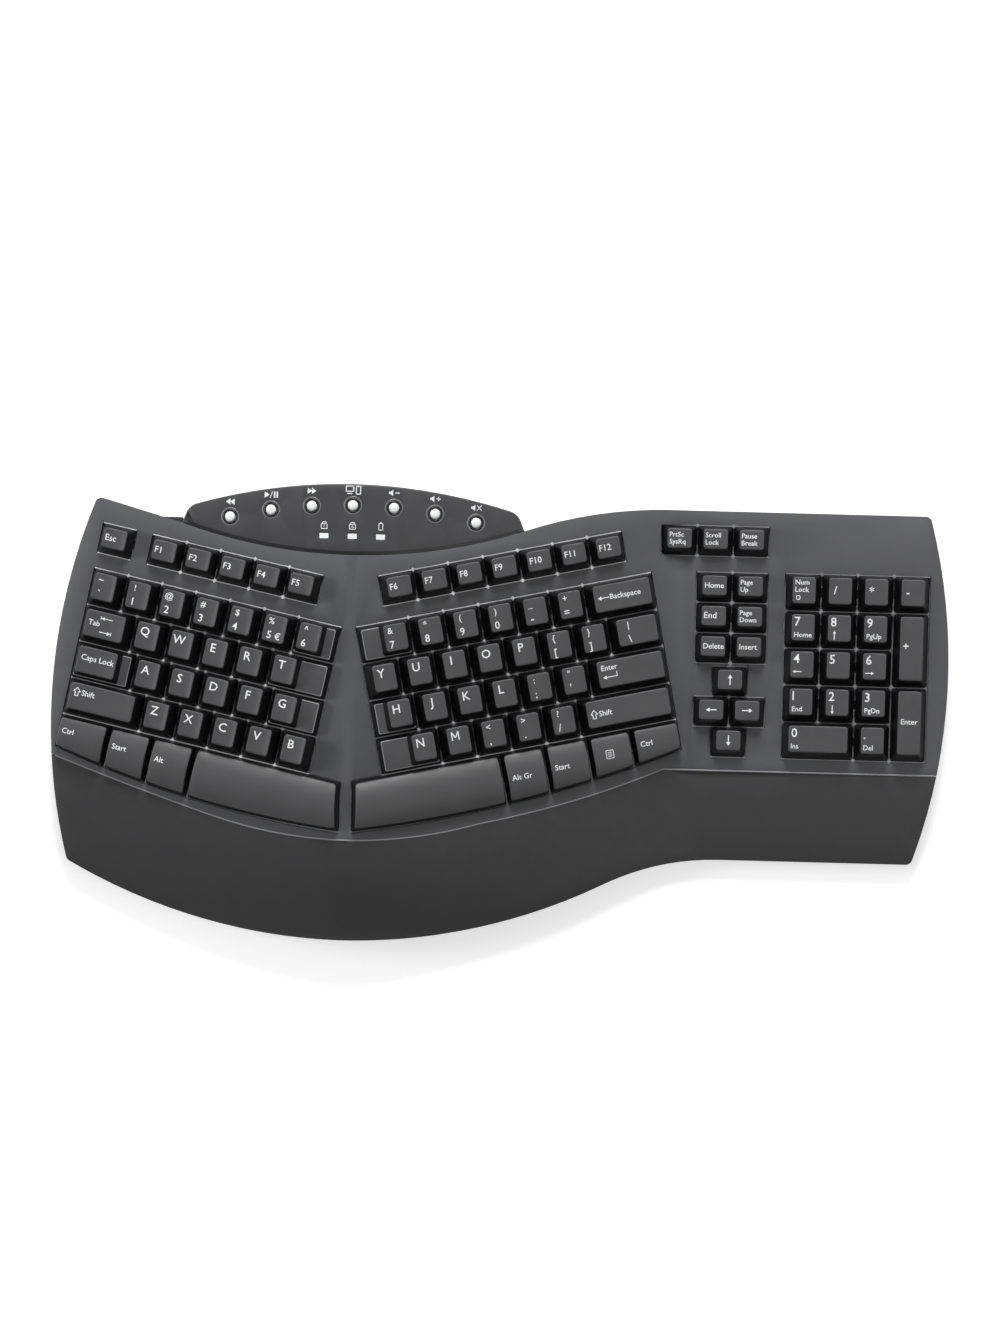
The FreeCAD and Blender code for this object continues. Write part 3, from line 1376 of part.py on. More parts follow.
def make_key_frame():
    """A tray under the deck that guides the stems. It shows between the keys."""
    floor = size("frame_floor")
    low = floor + size("frame_plate")
    frame = layer(STACK_PLAN, size("deck_wall"), size("sheet_depth"))
    hollow = prism(stack_plan(size("stack_play") + size("side_wall")), 0, TALL).common(
        band(low, size("sheet_depth")))
    # Under the keys that reach over the bend the floor stays in the flat zone's plane.
    hollow = hollow.cut(PAD.raised(
        grown(SYSTEM_WINDOW, size("window_margin") + 1.0 + size("side_wall")),
        -low + size("pin_play"), 0.0))
    wells = window_prisms(size("window_margin") + 1.0, -floor, 2.0)
    frame = frame.cut([hollow] + wells + guide_slots(low))
    for wire in WIRES:
        frame = frame.cut(lug_openings(wire, low))
    clips = []
    for wire in WIRES:
        for clip in wire_clips(wire):
            clip.Placement = wire.field.place.multiply(clip.Placement)
            clips.append(clip)
    return frame.fuse(clips)


add_node("key_frame", make_key_frame())


def make_rubber_sheet():
    """A thin sheet with a dome on it under every stem, each kept to four sides."""
    rings = [[(sx * half, sy * half) for sx, sy in ((-1, -1), (1, -1), (1, 1), (-1, 1))]
             for half in (size("dome_foot"), size("dome_top"))]
    dome = between(rings[0], rings[1], -size("sheet_depth"),
                   -size("stem_foot") - size("dome_gap"))
    domes = []
    for field, place in STEMS:
        copy = placed(dome, *place)
        copy.Placement = field.place.multiply(copy.Placement)
        if over_bend(field, place[0]):
            copy = copy.cut(under_deck(size("sheet_depth"))).common(
                under_deck(size("stem_foot") + size("dome_gap")))
        domes.append(copy)
    return Part.makeCompound([layer(STACK_PLAN, size("sheet_depth"), SHEET_LOW)] + domes)


add_node("rubber_dome_sheet", make_rubber_sheet())
add_node("membrane_circuit", layer(STACK_PLAN, SHEET_LOW, MEMBRANE_LOW))
add_node("backing_plate", layer(STACK_PLAN, MEMBRANE_LOW, STACK_LOW))


# Base: a tray under everything, with screw posts, ribs under the backing plate, the
# battery bay and housings for the tilt feet

FLOOR = size("floor_low")
FLOOR_TOP = FLOOR + size("floor_wall")
SPLIT = size("case_split")
RIB_LEVELS = [-32.0, 40.0]
RIB_ACROSS = [-160.0, CREST, 20.0]
RIB_FRONT = -70.0
RIB_REAR = 70.0
TILT_FEET = [("tilt_foot_left", -size("tilt_foot_across")),
             ("tilt_foot_right", size("tilt_foot_across"))]
BAY_X = size("bay_across")
BAY_Y = size("bay_level")
BAY_HALF_X = (size("cell_length") + size("cell_nub") + size("bay_contacts")) / 2
BAY_HALF_Y = size("cell_pitch") / 2 + size("cell_radius") + size("bay_play")
BAY_TOP = size("cell_axis") + size("cell_radius") + size("bay_play")
TONGUE_LOW = FLOOR + size("door_wall") / 2
SWITCH_X = size("switch_across")
SWITCH_Y = size("switch_level")
SWITCH_HALF = 7.5
SWITCH_RAIL = 3.5
FOOT_PADS = [(-208.0, 58.0), (-208.0, -42.0), (-110.0, -100.0), (-45.0, -100.0),
             (120.0, -61.0), (210.0, -60.0), (208.0, 58.0), (20.0, 84.0)]


def block(x0, y0, z0, x1, y1, z1):
    return Part.makeBox(x1 - x0, y1 - y0, z1 - z0, Vector(x0, y0, z0))


def make_ribs():
    half = size("rib_wall") / 2
    walls = [block(-REACH, y - half, FLOOR_TOP - 0.5, REACH, y + half, TALL)
             for y in RIB_LEVELS]
    walls += [block(x - half, RIB_FRONT, FLOOR_TOP - 0.5, x + half, RIB_REAR, TALL)
              for x in RIB_ACROSS]
    inside = prism(STACK_PLAN, 0, TALL).common(under_deck(STACK_LOW))
    ribs = walls[0].fuse(walls[1:]).common(inside)
    radius = size("boss_radius") + size("part_play")
    return ribs.cut([pillar(place, radius, SPLIT, TALL) for place in DECK_SCREWS])


def bay_block(edge, low, high):
    return block(BAY_X - BAY_HALF_X - edge, BAY_Y - BAY_HALF_Y - edge, low,
                 BAY_X + BAY_HALF_X + edge, BAY_Y + BAY_HALF_Y + edge, high)


def door_channel():
    """The way of the battery door, open to the rear, with a groove on each side."""
    play = size("door_play")
    half = size("door_width") / 2 + play
    top = FLOOR + size("door_wall") + play
    front = BAY_Y - size("door_front") - play
    tongue = half + size("door_tongue")
    return block(BAY_X - half, front, 0, BAY_X + half, REACH, top).fuse(
        block(BAY_X - tongue, front, TONGUE_LOW - play, BAY_X + tongue, REACH, top))


PIN_SIDES = 12


def tilt_housing(x):
    """A closed box over a folded tilt foot. Returns it and its hollow."""
    play = size("part_play")
    half = size("tilt_foot_width") / 2 + play
    cheek = size("tilt_pin_length") + 1.0
    front = size("tilt_foot_level") - size("tilt_foot_length") - 2 * play
    rear = size("tilt_foot_level") + size("tilt_foot_wall") / 2 + play
    top = size("tilt_pin_height") + size("tilt_foot_wall") / 2 + play
    outer = block(x - half - cheek, front - 1.5, FLOOR, x + half + cheek, rear + 1.5, SPLIT)
    hollow = block(x - half, front, 0, x + half, rear, top)
    notch = pillar((x, front), 6.0, 0, FLOOR + 1.2)
    reach = half + size("tilt_pin_length") + play
    axis = Vector(0, size("tilt_foot_level"), size("tilt_pin_height"))
    bore = rod(axis + Vector(x - reach, 0, 0), axis + Vector(x + reach, 0, 0),
               (size("tilt_pin_radius") + size("pin_play")) / math.cos(math.pi / PIN_SIDES),
               PIN_SIDES)
    return outer, [hollow, notch, bore]


def switch_rails():
    """Two rails with lips that hold the power switch's slider on the floor."""
    low = FLOOR_TOP - 0.5
    top = FLOOR_TOP + size("switch_flange") + 1.4
    lip = FLOOR_TOP + size("switch_flange") + 0.15
    rails = []
    for hand in (-1, 1):
        edge = sorted((hand * (SWITCH_RAIL + 0.1), hand * (SWITCH_RAIL + 1.6)))
        over = sorted((hand * (SWITCH_RAIL - 0.9), hand * (SWITCH_RAIL + 1.6)))
        x0 = SWITCH_X - 5.0
        x1 = SWITCH_X + 5.0 + size("switch_travel")
        rails.append(block(x0, SWITCH_Y + edge[0], low, x1, SWITCH_Y + edge[1], top))
        rails.append(block(x0, SWITCH_Y + over[0], lip, x1, SWITCH_Y + over[1], top))
    return rails


def board_posts():
    x, y = size("board_across"), size("board_level")
    half_x = size("board_width") / 2 - 3.0
    half_y = size("board_depth") / 2 - 3.0
    return [(x - half_x, y + half_y), (x - half_x, y - half_y), (x + half_x, y - half_y)]


BOARD_TOP = size("board_height") + size("board_wall")
BOARD_PIN = 0.9


def make_base_case():
    play = size("part_play")
    whole = prism(OUTLINE, FLOOR, SPLIT)
    inside = straightened(grown(OUTLINE, -size("side_wall")), HIDDEN_SAG)
    tray = whole.cut(prism(inside, FLOOR_TOP, SPLIT + 1))
    added = [make_ribs(), bay_block(size("bay_wall"), FLOOR, BAY_TOP + size("bay_wall"))]
    added.append(bay_block(size("bay_rim"), FLOOR, size("bay_rim_height")).common(whole))
    removed = [bay_block(0.0, 0.0, BAY_TOP), door_channel()]
    for name, x in TILT_FEET:
        outer, hollows = tilt_housing(x)
        added.append(outer)
        removed += hollows
    for place in DECK_SCREWS + PALM_SCREWS:
        added.append(pillar(place, size("post_radius"), FLOOR_TOP - 0.5, SPLIT))
        removed.append(pillar(place, size("screw_head_radius") + play, 0, size("head_seat")))
        removed.append(pillar(place, size("screw_radius") + size("screw_play"), 0, SPLIT + 1))
    added += switch_rails()
    half = size("switch_width") / 2 + 0.1
    removed.append(block(SWITCH_X - half, SWITCH_Y - size("switch_depth") / 2 - 0.1, 0,
                         SWITCH_X + half + size("switch_travel"),
                         SWITCH_Y + size("switch_depth") / 2 + 0.1, FLOOR_TOP + 0.01))
    for place in board_posts():
        added.append(pillar(place, 2.0, FLOOR_TOP - 0.5, size("board_height")))
        added.append(pillar(place, BOARD_PIN, FLOOR_TOP, BOARD_TOP + 0.6))
    for x, y in FOOT_PADS:
        reach_x = size("foot_pad_width") / 2 + 0.2
        reach_y = size("foot_pad_depth") / 2 + 0.2
        removed.append(block(x - reach_x, y - reach_y, 0, x + reach_x, y + reach_y,
                             FLOOR + size("foot_pad_seat")))
    return tray.fuse(added).cut(removed).removeSplitter()


add_node("base_case", make_base_case())


def make_controller_board():
    x, y = size("board_across"), size("board_level")
    half_x, half_y = size("board_width") / 2, size("board_depth") / 2
    low = size("board_height")
    board = block(x - half_x, y - half_y, low, x + half_x, y + half_y, BOARD_TOP)
    parts = [block(x - 6, y - 6, BOARD_TOP - 0.2, x + 5, y + 5, BOARD_TOP + 1.4),
             block(x + 8, y - 7, BOARD_TOP - 0.2, x + 13, y + 7, BOARD_TOP + 4.5),
             block(x - 15, y - 2.5, BOARD_TOP - 0.2, x - 9, y + 2.5, BOARD_TOP + 2.2)]
    holes = [pillar(place, BOARD_PIN + size("pin_play"), 0, TALL) for place in board_posts()]
    return board.fuse(parts).cut(holes)


add_node("controller_board", make_controller_board())

# Batteries: two AA cells side by side, head to tail, between sprung contacts


def cell_frame(hand):
    """Middle of the front (-1) or rear (1) cell. Its nub points to that hand."""
    return Vector(BAY_X - hand * size("cell_nub") / 2, BAY_Y + hand * size("cell_pitch") / 2,
                  size("cell_axis"))


def make_cells():
    cells = []
    for hand in (-1, 1):
        body = turned("cell_body", "sizes.cell_radius", "0", "sizes.cell_length", 16)
        nub = turned("cell_nub", "sizes.cell_radius * 0.36", "sizes.cell_length - 1",
                     "sizes.cell_length + sizes.cell_nub", 8)
        cell = fused("cell", body, nub)
        doc.recompute()
        solid = cell.Shape.copy()
        middle = cell_frame(hand)
        start = Vector(middle.x - hand * size("cell_length") / 2, middle.y, middle.z)
        solid.Placement = Placement(start, Rotation(Vector(0, 0, 1), Vector(hand, 0, 0)))
        cells.append(solid)
    return Part.makeCompound(cells)


add_node("battery_cells", make_cells())


def make_contacts():
    """Plates at the bay's ends: a bump for each nub and a leaf for each flat end."""
    wall = size("contact_wall")
    solids = []
    for hand in (-1, 1):
        middle = cell_frame(hand)
        nub_wall = BAY_X + hand * BAY_HALF_X
        flat_wall = BAY_X - hand * BAY_HALF_X
        nub_end = middle.x + hand * (size("cell_length") / 2 + size("cell_nub"))
        flat_end = middle.x - hand * size("cell_length") / 2
        for end, wall_x, tip in ((hand, nub_wall, nub_end), (-hand, flat_wall, flat_end)):
            inner = wall_x - end * wall
            xs = sorted((wall_x, inner))
            plate = block(xs[0], middle.y - 6, middle.z - 6, xs[1], middle.y + 6, middle.z + 6)
            xs = sorted((tip, inner + end * 0.05))
            size_yz = 1.6 if end == hand else 3.0
            bump = block(xs[0], middle.y - size_yz, middle.z - size_yz,
                         xs[1], middle.y + size_yz, middle.z + size_yz)
            solids.append(plate.fuse(bump))
    return Part.makeCompound(solids)


add_node("battery_contacts", make_contacts())

# Sketched parts: battery door, power switch and tilt feet


def body_of(name, place):
    body = doc.addObject("PartDesign::Body", name)
    body.Placement = place
    return body


def box_sketch(body, name, height, left, right, low, high):
    """A rectangle parallel to the body's XY plane, its four sides bound to the sheet."""
    sketch = body.newObject("Sketcher::SketchObject", name)
    plane = [item for item in body.Origin.OriginFeatures if item.Role == "XY_Plane"][0]
    sketch.AttachmentSupport = [(plane, "")]
    sketch.MapMode = "FlatFace"
    sketch.setExpression("AttachmentOffset.Base.z", height)
    corners = [Vector(-1, -1, 0), Vector(1, -1, 0), Vector(1, 1, 0), Vector(-1, 1, 0)]
    for k in range(4):
        sketch.addGeometry(Part.LineSegment(corners[k], corners[(k + 1) % 4]), False)
    for k in range(4):
        sketch.addConstraint(Sketcher.Constraint("Coincident", k, 2, (k + 1) % 4, 1))
    for k, kind in enumerate(("Horizontal", "Vertical", "Horizontal", "Vertical")):
        sketch.addConstraint(Sketcher.Constraint(kind, k))
    for label, kind, point, value in (("left", "DistanceX", (0, 1), left),
                                      ("low", "DistanceY", (0, 1), low),
                                      ("right", "DistanceX", (2, 1), right),
                                      ("high", "DistanceY", (2, 1), high)):
        start = -1.0 if label in ("left", "low") else 1.0
        place = sketch.addConstraint(
            Sketcher.Constraint(kind, -1, 1, point[0], point[1], start))
        sketch.renameConstraint(place, label)
        sketch.setExpression("Constraints." + label, value)
    return sketch


def pad(body, sketch, length):
    feature = body.newObject("PartDesign::Pad", sketch.Name + "_pad")
    feature.Profile = sketch
    feature.setExpression("Length", length)
    doc.recompute()
    return feature


def pocket(body, sketch, length):
    """Cuts upwards from its sketch."""
    feature = body.newObject("PartDesign::Pocket", sketch.Name + "_pocket")
    feature.Profile = sketch
    feature.Reversed = True
    feature.setExpression("Length", length)
    doc.recompute()
    return feature


door = body_of("battery_door", Placement(Vector(BAY_X, BAY_Y, FLOOR), Rotation()))
half_door = "sizes.door_width / 2"
pad(door, box_sketch(door, "door_plate", "0 mm", "-%s" % half_door, half_door,
                     "-sizes.door_front", "sizes.door_rear"), "sizes.door_wall")
tongue_edge = "(%s + sizes.door_tongue)" % half_door
pad(door, box_sketch(door, "door_tongues", "sizes.door_wall / 2", "-%s" % tongue_edge,
                     tongue_edge, "-sizes.door_front", "sizes.door_rear"),
    "sizes.door_wall / 2")
for groove in range(3):
    front = "(-sizes.door_front + 5 + %d)" % (groove * 3)
    pocket(door, box_sketch(door, "grip_groove_%d" % (groove + 1), "0 mm", "-9", "9", front,
                            "%s + 1.2" % front), "0.5")
keep(door, "battery_door")

switch = body_of("power_switch", Placement(
    Vector(SWITCH_X, SWITCH_Y, FLOOR_TOP + size("pin_play")), Rotation()))
half_grip = "sizes.switch_width / 2"
half_deep = "sizes.switch_depth / 2"
pad(switch, box_sketch(switch, "slider", "0 mm", "-7.5", "7.5", "-3.5", "3.5"),
    "sizes.switch_flange")
pad(switch, box_sketch(switch, "grip", "-sizes.floor_wall + 0.2", "-%s" % half_grip,
                       half_grip, "-%s" % half_deep, half_deep), "sizes.floor_wall")
for groove in (-1, 0, 1):
    pocket(switch, box_sketch(switch, "grip_rib_%d" % (groove + 2),
                              "-sizes.floor_wall + 0.2", "%g" % (groove * 1.8 - 0.35),
                              "%g" % (groove * 1.8 + 0.35), "-5", "5"), "0.4")
keep(switch, "power_switch")

for name, x in TILT_FEET:
    foot = body_of(name, Placement(Vector(x, size("tilt_foot_level"),
                                          size("tilt_pin_height")), Rotation()))
    half_foot = "sizes.tilt_foot_width / 2"
    pad(foot, box_sketch(foot, name + "_plate", "-sizes.tilt_foot_wall / 2",
                         "-%s" % half_foot, half_foot, "-sizes.tilt_foot_length", "0"),
        "sizes.tilt_foot_wall")
    barrel = foot.newObject("PartDesign::AdditivePrism", name + "_barrel")
    barrel.Polygon = PIN_SIDES
    barrel.Placement = Placement(Vector(), Rotation(Vector(0, 0, 1), Vector(1, 0, 0)))
    bind(barrel, Circumradius="sizes.tilt_foot_wall / 2", Height="sizes.tilt_foot_width",
         Placement__Base__x="-%s" % half_foot)
    stub = foot.newObject("PartDesign::AdditiveCylinder", name + "_stubs")
    stub.Placement = Placement(Vector(), Rotation(Vector(0, 0, 1), Vector(1, 0, 0)))
    bind(stub, Radius="sizes.tilt_pin_radius",
         Height="sizes.tilt_foot_width + 2 * sizes.tilt_pin_length",
         Placement__Base__x="-%s - sizes.tilt_pin_length" % half_foot)
    pocket(foot, box_sketch(foot, name + "_hollow", "-sizes.tilt_foot_wall / 2",
                            "-%s + 3" % half_foot, "%s - 3" % half_foot,
                            "-sizes.tilt_foot_length + 5", "-4"), "1.6")
    keep(foot, name)

# Rubber feet and case screws: one solid each, repeated at their places

pad_master = doc.addObject("Part::Box", "rubber_foot")
bind(pad_master, Length="sizes.foot_pad_width", Width="sizes.foot_pad_depth",
     Height="sizes.floor_low + sizes.foot_pad_seat",
     Placement__Base__x="-sizes.foot_pad_width / 2",
     Placement__Base__y="-sizes.foot_pad_depth / 2")
head = turned("screw_head", "sizes.screw_head_radius", "sizes.head_seat - sizes.screw_head",
              "sizes.head_seat", PILLAR_SIDES)
shank = turned("screw_shank", "sizes.screw_radius", "sizes.head_seat - 0.2",
               "sizes.head_seat + sizes.screw_shank", PILLAR_SIDES)
screw = fused("case_screw", head, shank)
doc.recompute()
add_node("rubber_feet", Part.makeCompound(
    [placed(pad_master.Shape, x, y) for x, y in FOOT_PADS]))
add_node("case_screws", Part.makeCompound(
    [placed(screw.Shape, x, y) for x, y in DECK_SCREWS + PALM_SCREWS]))

# Checks and export

doc.recompute()
faults = []
for thing in doc.Objects:
    if "Invalid" in thing.State or "Error" in thing.State:
        faults.append("%s: %s" % (thing.Name, thing.State))
for node in NODES:
    if node.Shape.isNull() or not node.Shape.isValid() or not node.Shape.Solids:
        faults.append("%s has no sound solid" % node.Label)
if faults:
    raise RuntimeError("; ".join(faults))

os.makedirs("parts", exist_ok=True)
for node in NODES:
    node.Shape.exportStep("parts/%s.step" % node.Label)
print("wrote %d sub-parts" % len(NODES))
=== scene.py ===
import math

import bpy
from mathutils import Matrix, Vector


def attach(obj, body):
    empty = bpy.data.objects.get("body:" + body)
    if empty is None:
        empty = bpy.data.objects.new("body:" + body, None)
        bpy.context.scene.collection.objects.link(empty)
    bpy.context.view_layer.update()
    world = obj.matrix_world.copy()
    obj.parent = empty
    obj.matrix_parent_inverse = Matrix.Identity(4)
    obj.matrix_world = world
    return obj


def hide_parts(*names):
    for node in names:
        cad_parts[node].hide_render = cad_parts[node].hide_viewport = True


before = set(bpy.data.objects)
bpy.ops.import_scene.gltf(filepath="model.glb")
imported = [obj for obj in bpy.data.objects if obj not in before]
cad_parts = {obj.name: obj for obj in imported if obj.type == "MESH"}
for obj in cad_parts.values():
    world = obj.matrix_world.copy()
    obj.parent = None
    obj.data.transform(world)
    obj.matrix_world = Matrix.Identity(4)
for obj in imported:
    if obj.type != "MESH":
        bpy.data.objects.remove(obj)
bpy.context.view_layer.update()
MM = 0.001

# Camera: straight above, rolled a little, as in the photograph

VIEW_AT = Vector((-0.26, 26.1, 14.0)) * MM
VIEW_WIDTH = 517.4 * MM
VIEW_ROLL = math.radians(1.5)
VIEW_HEIGHT = 2.6
VIEW_END = 50.0
SENSOR = 36.0

camera_data = bpy.data.cameras.new("camera")
camera = bpy.data.objects.new("camera", camera_data)
bpy.context.scene.collection.objects.link(camera)
camera.location = VIEW_AT + Vector((0, 0, VIEW_HEIGHT))
camera.rotation_euler = (0, 0, VIEW_ROLL)
camera_data.sensor_fit = "HORIZONTAL"
camera_data.sensor_width = SENSOR
camera_data.lens = SENSOR * VIEW_HEIGHT / VIEW_WIDTH
camera_data.clip_end = VIEW_END
bpy.context.scene.camera = camera


# Materials

# scale and detail of the noise in tone, gloss and grain, then the grain's height in metres
PATCHES, GLOSS, GRAIN = (60.0, 5.0), (140.0, 4.0), (2600.0, 2.0)
GRAIN_HEIGHT = 0.00006
GLOSS_SPREAD = 0.1
METAL_SCALE, METAL_GRAIN, METAL_HEIGHT, METAL_SHADE = 900.0, 0.15, 0.00005, 0.85


def new_material(name):
    material = bpy.data.materials.new(name)
    material.use_nodes = True
    tree = material.node_tree
    return material, tree, tree.nodes["Principled BSDF"]


def noise(tree, scale, detail):
    place = tree.nodes.get("place") or tree.nodes.new("ShaderNodeTexCoord")
    place.name = "place"
    node = tree.nodes.new("ShaderNodeTexNoise")
    node.inputs["Scale"].default_value = scale
    node.inputs["Detail"].default_value = detail
    tree.links.new(place.outputs["Object"], node.inputs["Vector"])
    return node.outputs["Fac"]


def ramp(tree, source, low, high, ends=(0.3, 0.7)):
    """A colour that runs from low to high while the source runs between the ends."""
    node = tree.nodes.new("ShaderNodeValToRGB")
    for element, place, colour in zip(node.color_ramp.elements, ends, (low, high)):
        element.position = place
        element.color = (*colour, 1.0)
    tree.links.new(source, node.inputs["Fac"])
    return node.outputs["Color"]


def shaded(colour, factor):
    return tuple(c * factor for c in colour)


def bumped(tree, shader, height, strength, distance):
    bump = tree.nodes.new("ShaderNodeBump")
    bump.inputs["Strength"].default_value = strength
    bump.inputs["Distance"].default_value = distance
    tree.links.new(height, bump.inputs["Height"])
    tree.links.new(bump.outputs["Normal"], shader.inputs["Normal"])


def moulded(name, colour, roughness, grain=0.3, spread=0.12, specular=0.5):
    """Moulded plastic: fine grain, slight patches of tone and of gloss."""
    material, tree, shader = new_material(name)
    tone = ramp(tree, noise(tree, *PATCHES), shaded(colour, 1 - spread),
                shaded(colour, 1 + spread))
    tree.links.new(tone, shader.inputs["Base Color"])
    fine = noise(tree, *GRAIN)
    gloss = ramp(tree, noise(tree, *GLOSS), (roughness * (1 - GLOSS_SPREAD),) * 3,
                 (roughness * (1 + GLOSS_SPREAD),) * 3)
    tree.links.new(gloss, shader.inputs["Roughness"])
    shader.inputs["Specular IOR Level"].default_value = specular
    bumped(tree, shader, fine, grain, GRAIN_HEIGHT)
    return material


def metal(name, colour, roughness, stretch=(1.0, 1.0, 1.0)):
    """Bare metal with a fine grain, which a stretch draws out."""
    material, tree, shader = new_material(name)
    place = tree.nodes.new("ShaderNodeTexCoord")
    mapping = tree.nodes.new("ShaderNodeMapping")
    mapping.inputs["Scale"].default_value = stretch
    grain = tree.nodes.new("ShaderNodeTexNoise")
    grain.inputs["Scale"].default_value = METAL_SCALE
    tree.links.new(place.outputs["Object"], mapping.inputs["Vector"])
    tree.links.new(mapping.outputs["Vector"], grain.inputs["Vector"])
    tone = ramp(tree, grain.outputs["Fac"], shaded(colour, METAL_SHADE), colour)
    tree.links.new(tone, shader.inputs["Base Color"])
    shader.inputs["Metallic"].default_value = 1.0
    shader.inputs["Roughness"].default_value = roughness
    bumped(tree, shader, grain.outputs["Fac"], METAL_GRAIN, METAL_HEIGHT)
    return material


DECK = moulded("deck_plastic", (0.078, 0.079, 0.083), 0.55, grain=0.5, spread=0.04)
PALM = moulded("palm_plastic", (0.027, 0.027, 0.029), 0.55, grain=0.5, spread=0.03)
PANEL = moulded("panel_plastic", (0.046, 0.046, 0.049), 0.48, grain=0.4, spread=0.04)
BASE = moulded("base_plastic", (0.022, 0.022, 0.024), 0.55, grain=0.6)
CAP_TOP = moulded("key_top_plastic", (0.060, 0.060, 0.063), 0.50, grain=0.45, spread=0.06)
# The caps' sides are the tops' plastic; their near-black tone is painted shade
SKIRT_PAINTED_SHADE = moulded("key_skirt_painted_shade", (0.006, 0.006, 0.007), 0.38, grain=0.15, spread=0.06,
                    specular=0.35)
# A light tone for the steps' rounded edges and the seam bead: painted highlight
EDGE_HIGHLIGHT = moulded("edge_painted_highlight", (0.26, 0.26, 0.27), 0.45, grain=0.3, spread=0.06)
# Frame ribs: light grey plastic, lightened further as painted highlight
RIB_HIGHLIGHT = moulded("frame_rib_highlight", (0.60, 0.60, 0.61), 0.5, grain=0.3, spread=0.25)
PAD_RIB_HIGHLIGHT = moulded("pad_frame_rib_highlight", (0.26, 0.26, 0.27), 0.5, grain=0.3, spread=0.25)
FRAME = moulded("frame_plastic", (0.42, 0.43, 0.44), 0.45, grain=0.2)
# Near black for the button collars and the panel's edge line: painted shade
COLLAR_SHADE = moulded("collar_painted_shade", (0.012, 0.012, 0.013), 0.35, grain=0.1)
SILVER = moulded("button_silver", (0.80, 0.81, 0.83), 0.28, grain=0.1, spread=0.03)
# The lighter ring round each button hole: painted highlight
RIM_HIGHLIGHT = moulded("rim_painted_highlight", (0.16, 0.16, 0.165), 0.35, grain=0.2)
LENS = moulded("lens_plastic", (0.82, 0.84, 0.86), 0.25, grain=0.05, spread=0.03)
INK = moulded("legend_ink", (0.80, 0.81, 0.82), 0.6, grain=0.05, spread=0.03)
RUBBER = moulded("foot_rubber", (0.018, 0.018, 0.019), 0.85, grain=0.8)
DOMES = moulded("dome_rubber", (0.55, 0.57, 0.56), 0.5, grain=0.2)
FILM = moulded("film", (0.62, 0.66, 0.62), 0.3, grain=0.1)
BOARD = moulded("circuit_board", (0.03, 0.17, 0.07), 0.4, grain=0.3)
WRAP = moulded("cell_wrap", (0.20, 0.22, 0.25), 0.35, grain=0.1)
STEEL = metal("steel_sheet", (0.60, 0.61, 0.62), 0.35, (1.0, 12.0, 1.0))
CONTACT = metal("contact_steel", (0.74, 0.73, 0.70), 0.25)
SCREW = metal("screw_steel", (0.33, 0.33, 0.34), 0.35)

NODE_MATERIALS = {
    "top_case": DECK, "palm_rest": PALM, "media_panel": PANEL, "base_case": BASE,
    "battery_door": BASE, "power_switch": BASE, "tilt_foot_left": BASE,
    "tilt_foot_right": BASE, "indicator_lenses": LENS, "media_board": BOARD,
    "controller_board": BOARD, "key_frame": FRAME, "rubber_dome_sheet": DOMES,
    "membrane_circuit": FILM, "backing_plate": STEEL, "battery_cells": WRAP,
    "battery_contacts": CONTACT, "rubber_feet": RUBBER, "case_screws": SCREW,
    "stabiliser_wire_left": CONTACT, "stabiliser_wire_right": CONTACT,
}
EDGE_ROUNDING = {
    "top_case": 0.45, "palm_rest": 0.6, "media_panel": 0.5, "base_case": 0.4,
    "battery_door": 0.3, "power_switch": 0.25, "tilt_foot_left": 0.4,
    "tilt_foot_right": 0.4, "rubber_feet": 0.4,
}
SHARP_ANGLE = math.radians(35)
WELD_REACH = 0.00001
EDGE_SEGMENTS = 2


def dress(node_object, material):
    mesh = node_object.data
    if not mesh.materials:
        mesh.materials.append(material)
    for index in range(len(mesh.materials)):
        mesh.materials[index] = material


def soften(node_object, radius):
    """Joins the split facets and rounds the sharp edges."""
    mesh = node_object.data
    if "custom_normal" in mesh.attributes:
        mesh.attributes.remove(mesh.attributes["custom_normal"])
    weld = node_object.modifiers.new("weld", "WELD")
    weld.merge_threshold = WELD_REACH
    bevel = node_object.modifiers.new("bevel", "BEVEL")
    bevel.width = radius * MM
    bevel.segments = EDGE_SEGMENTS
    bevel.limit_method = "ANGLE"
    bevel.angle_limit = SHARP_ANGLE
    bevel.use_clamp_overlap = True
    bevel.harden_normals = False
    mesh.shade_smooth()
    mesh.set_sharp_from_angle(angle=SHARP_ANGLE)


for name, node_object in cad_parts.items():
    dress(node_object, NODE_MATERIALS.get(name, SKIRT_PAINTED_SHADE))
    if name in EDGE_ROUNDING:
        soften(node_object, EDGE_ROUNDING[name])

# Key fields: the same frames and pitches as the CAD, in millimetres

TENT = math.radians(10.0)
SLOPE = math.tan(math.radians(3.0))
CREST = -77.5
PAD_EDGE = 96.0
PAD_HEIGHT = 13.9
TURN = math.radians(12.0)
COLUMN, ROW = 18.4, 19.3
LEFT_PLACE, LEFT_MIDDLE = (-153.98, 20.21), (3.6 * COLUMN, -1.5 * ROW)
RIGHT_PLACE, RIGHT_MIDDLE = (7.64, 22.56), (4.2 * COLUMN, -1.5 * ROW)
PAD_PLACE = (155.4, 68.4)


def deck_height(x, y):
    rise = math.tan(TENT) * (PAD_EDGE - CREST - abs(x - CREST))
    return PAD_HEIGHT + max(rise if x < PAD_EDGE else 0.0, 0.0 if x > CREST else rise) + SLOPE * y


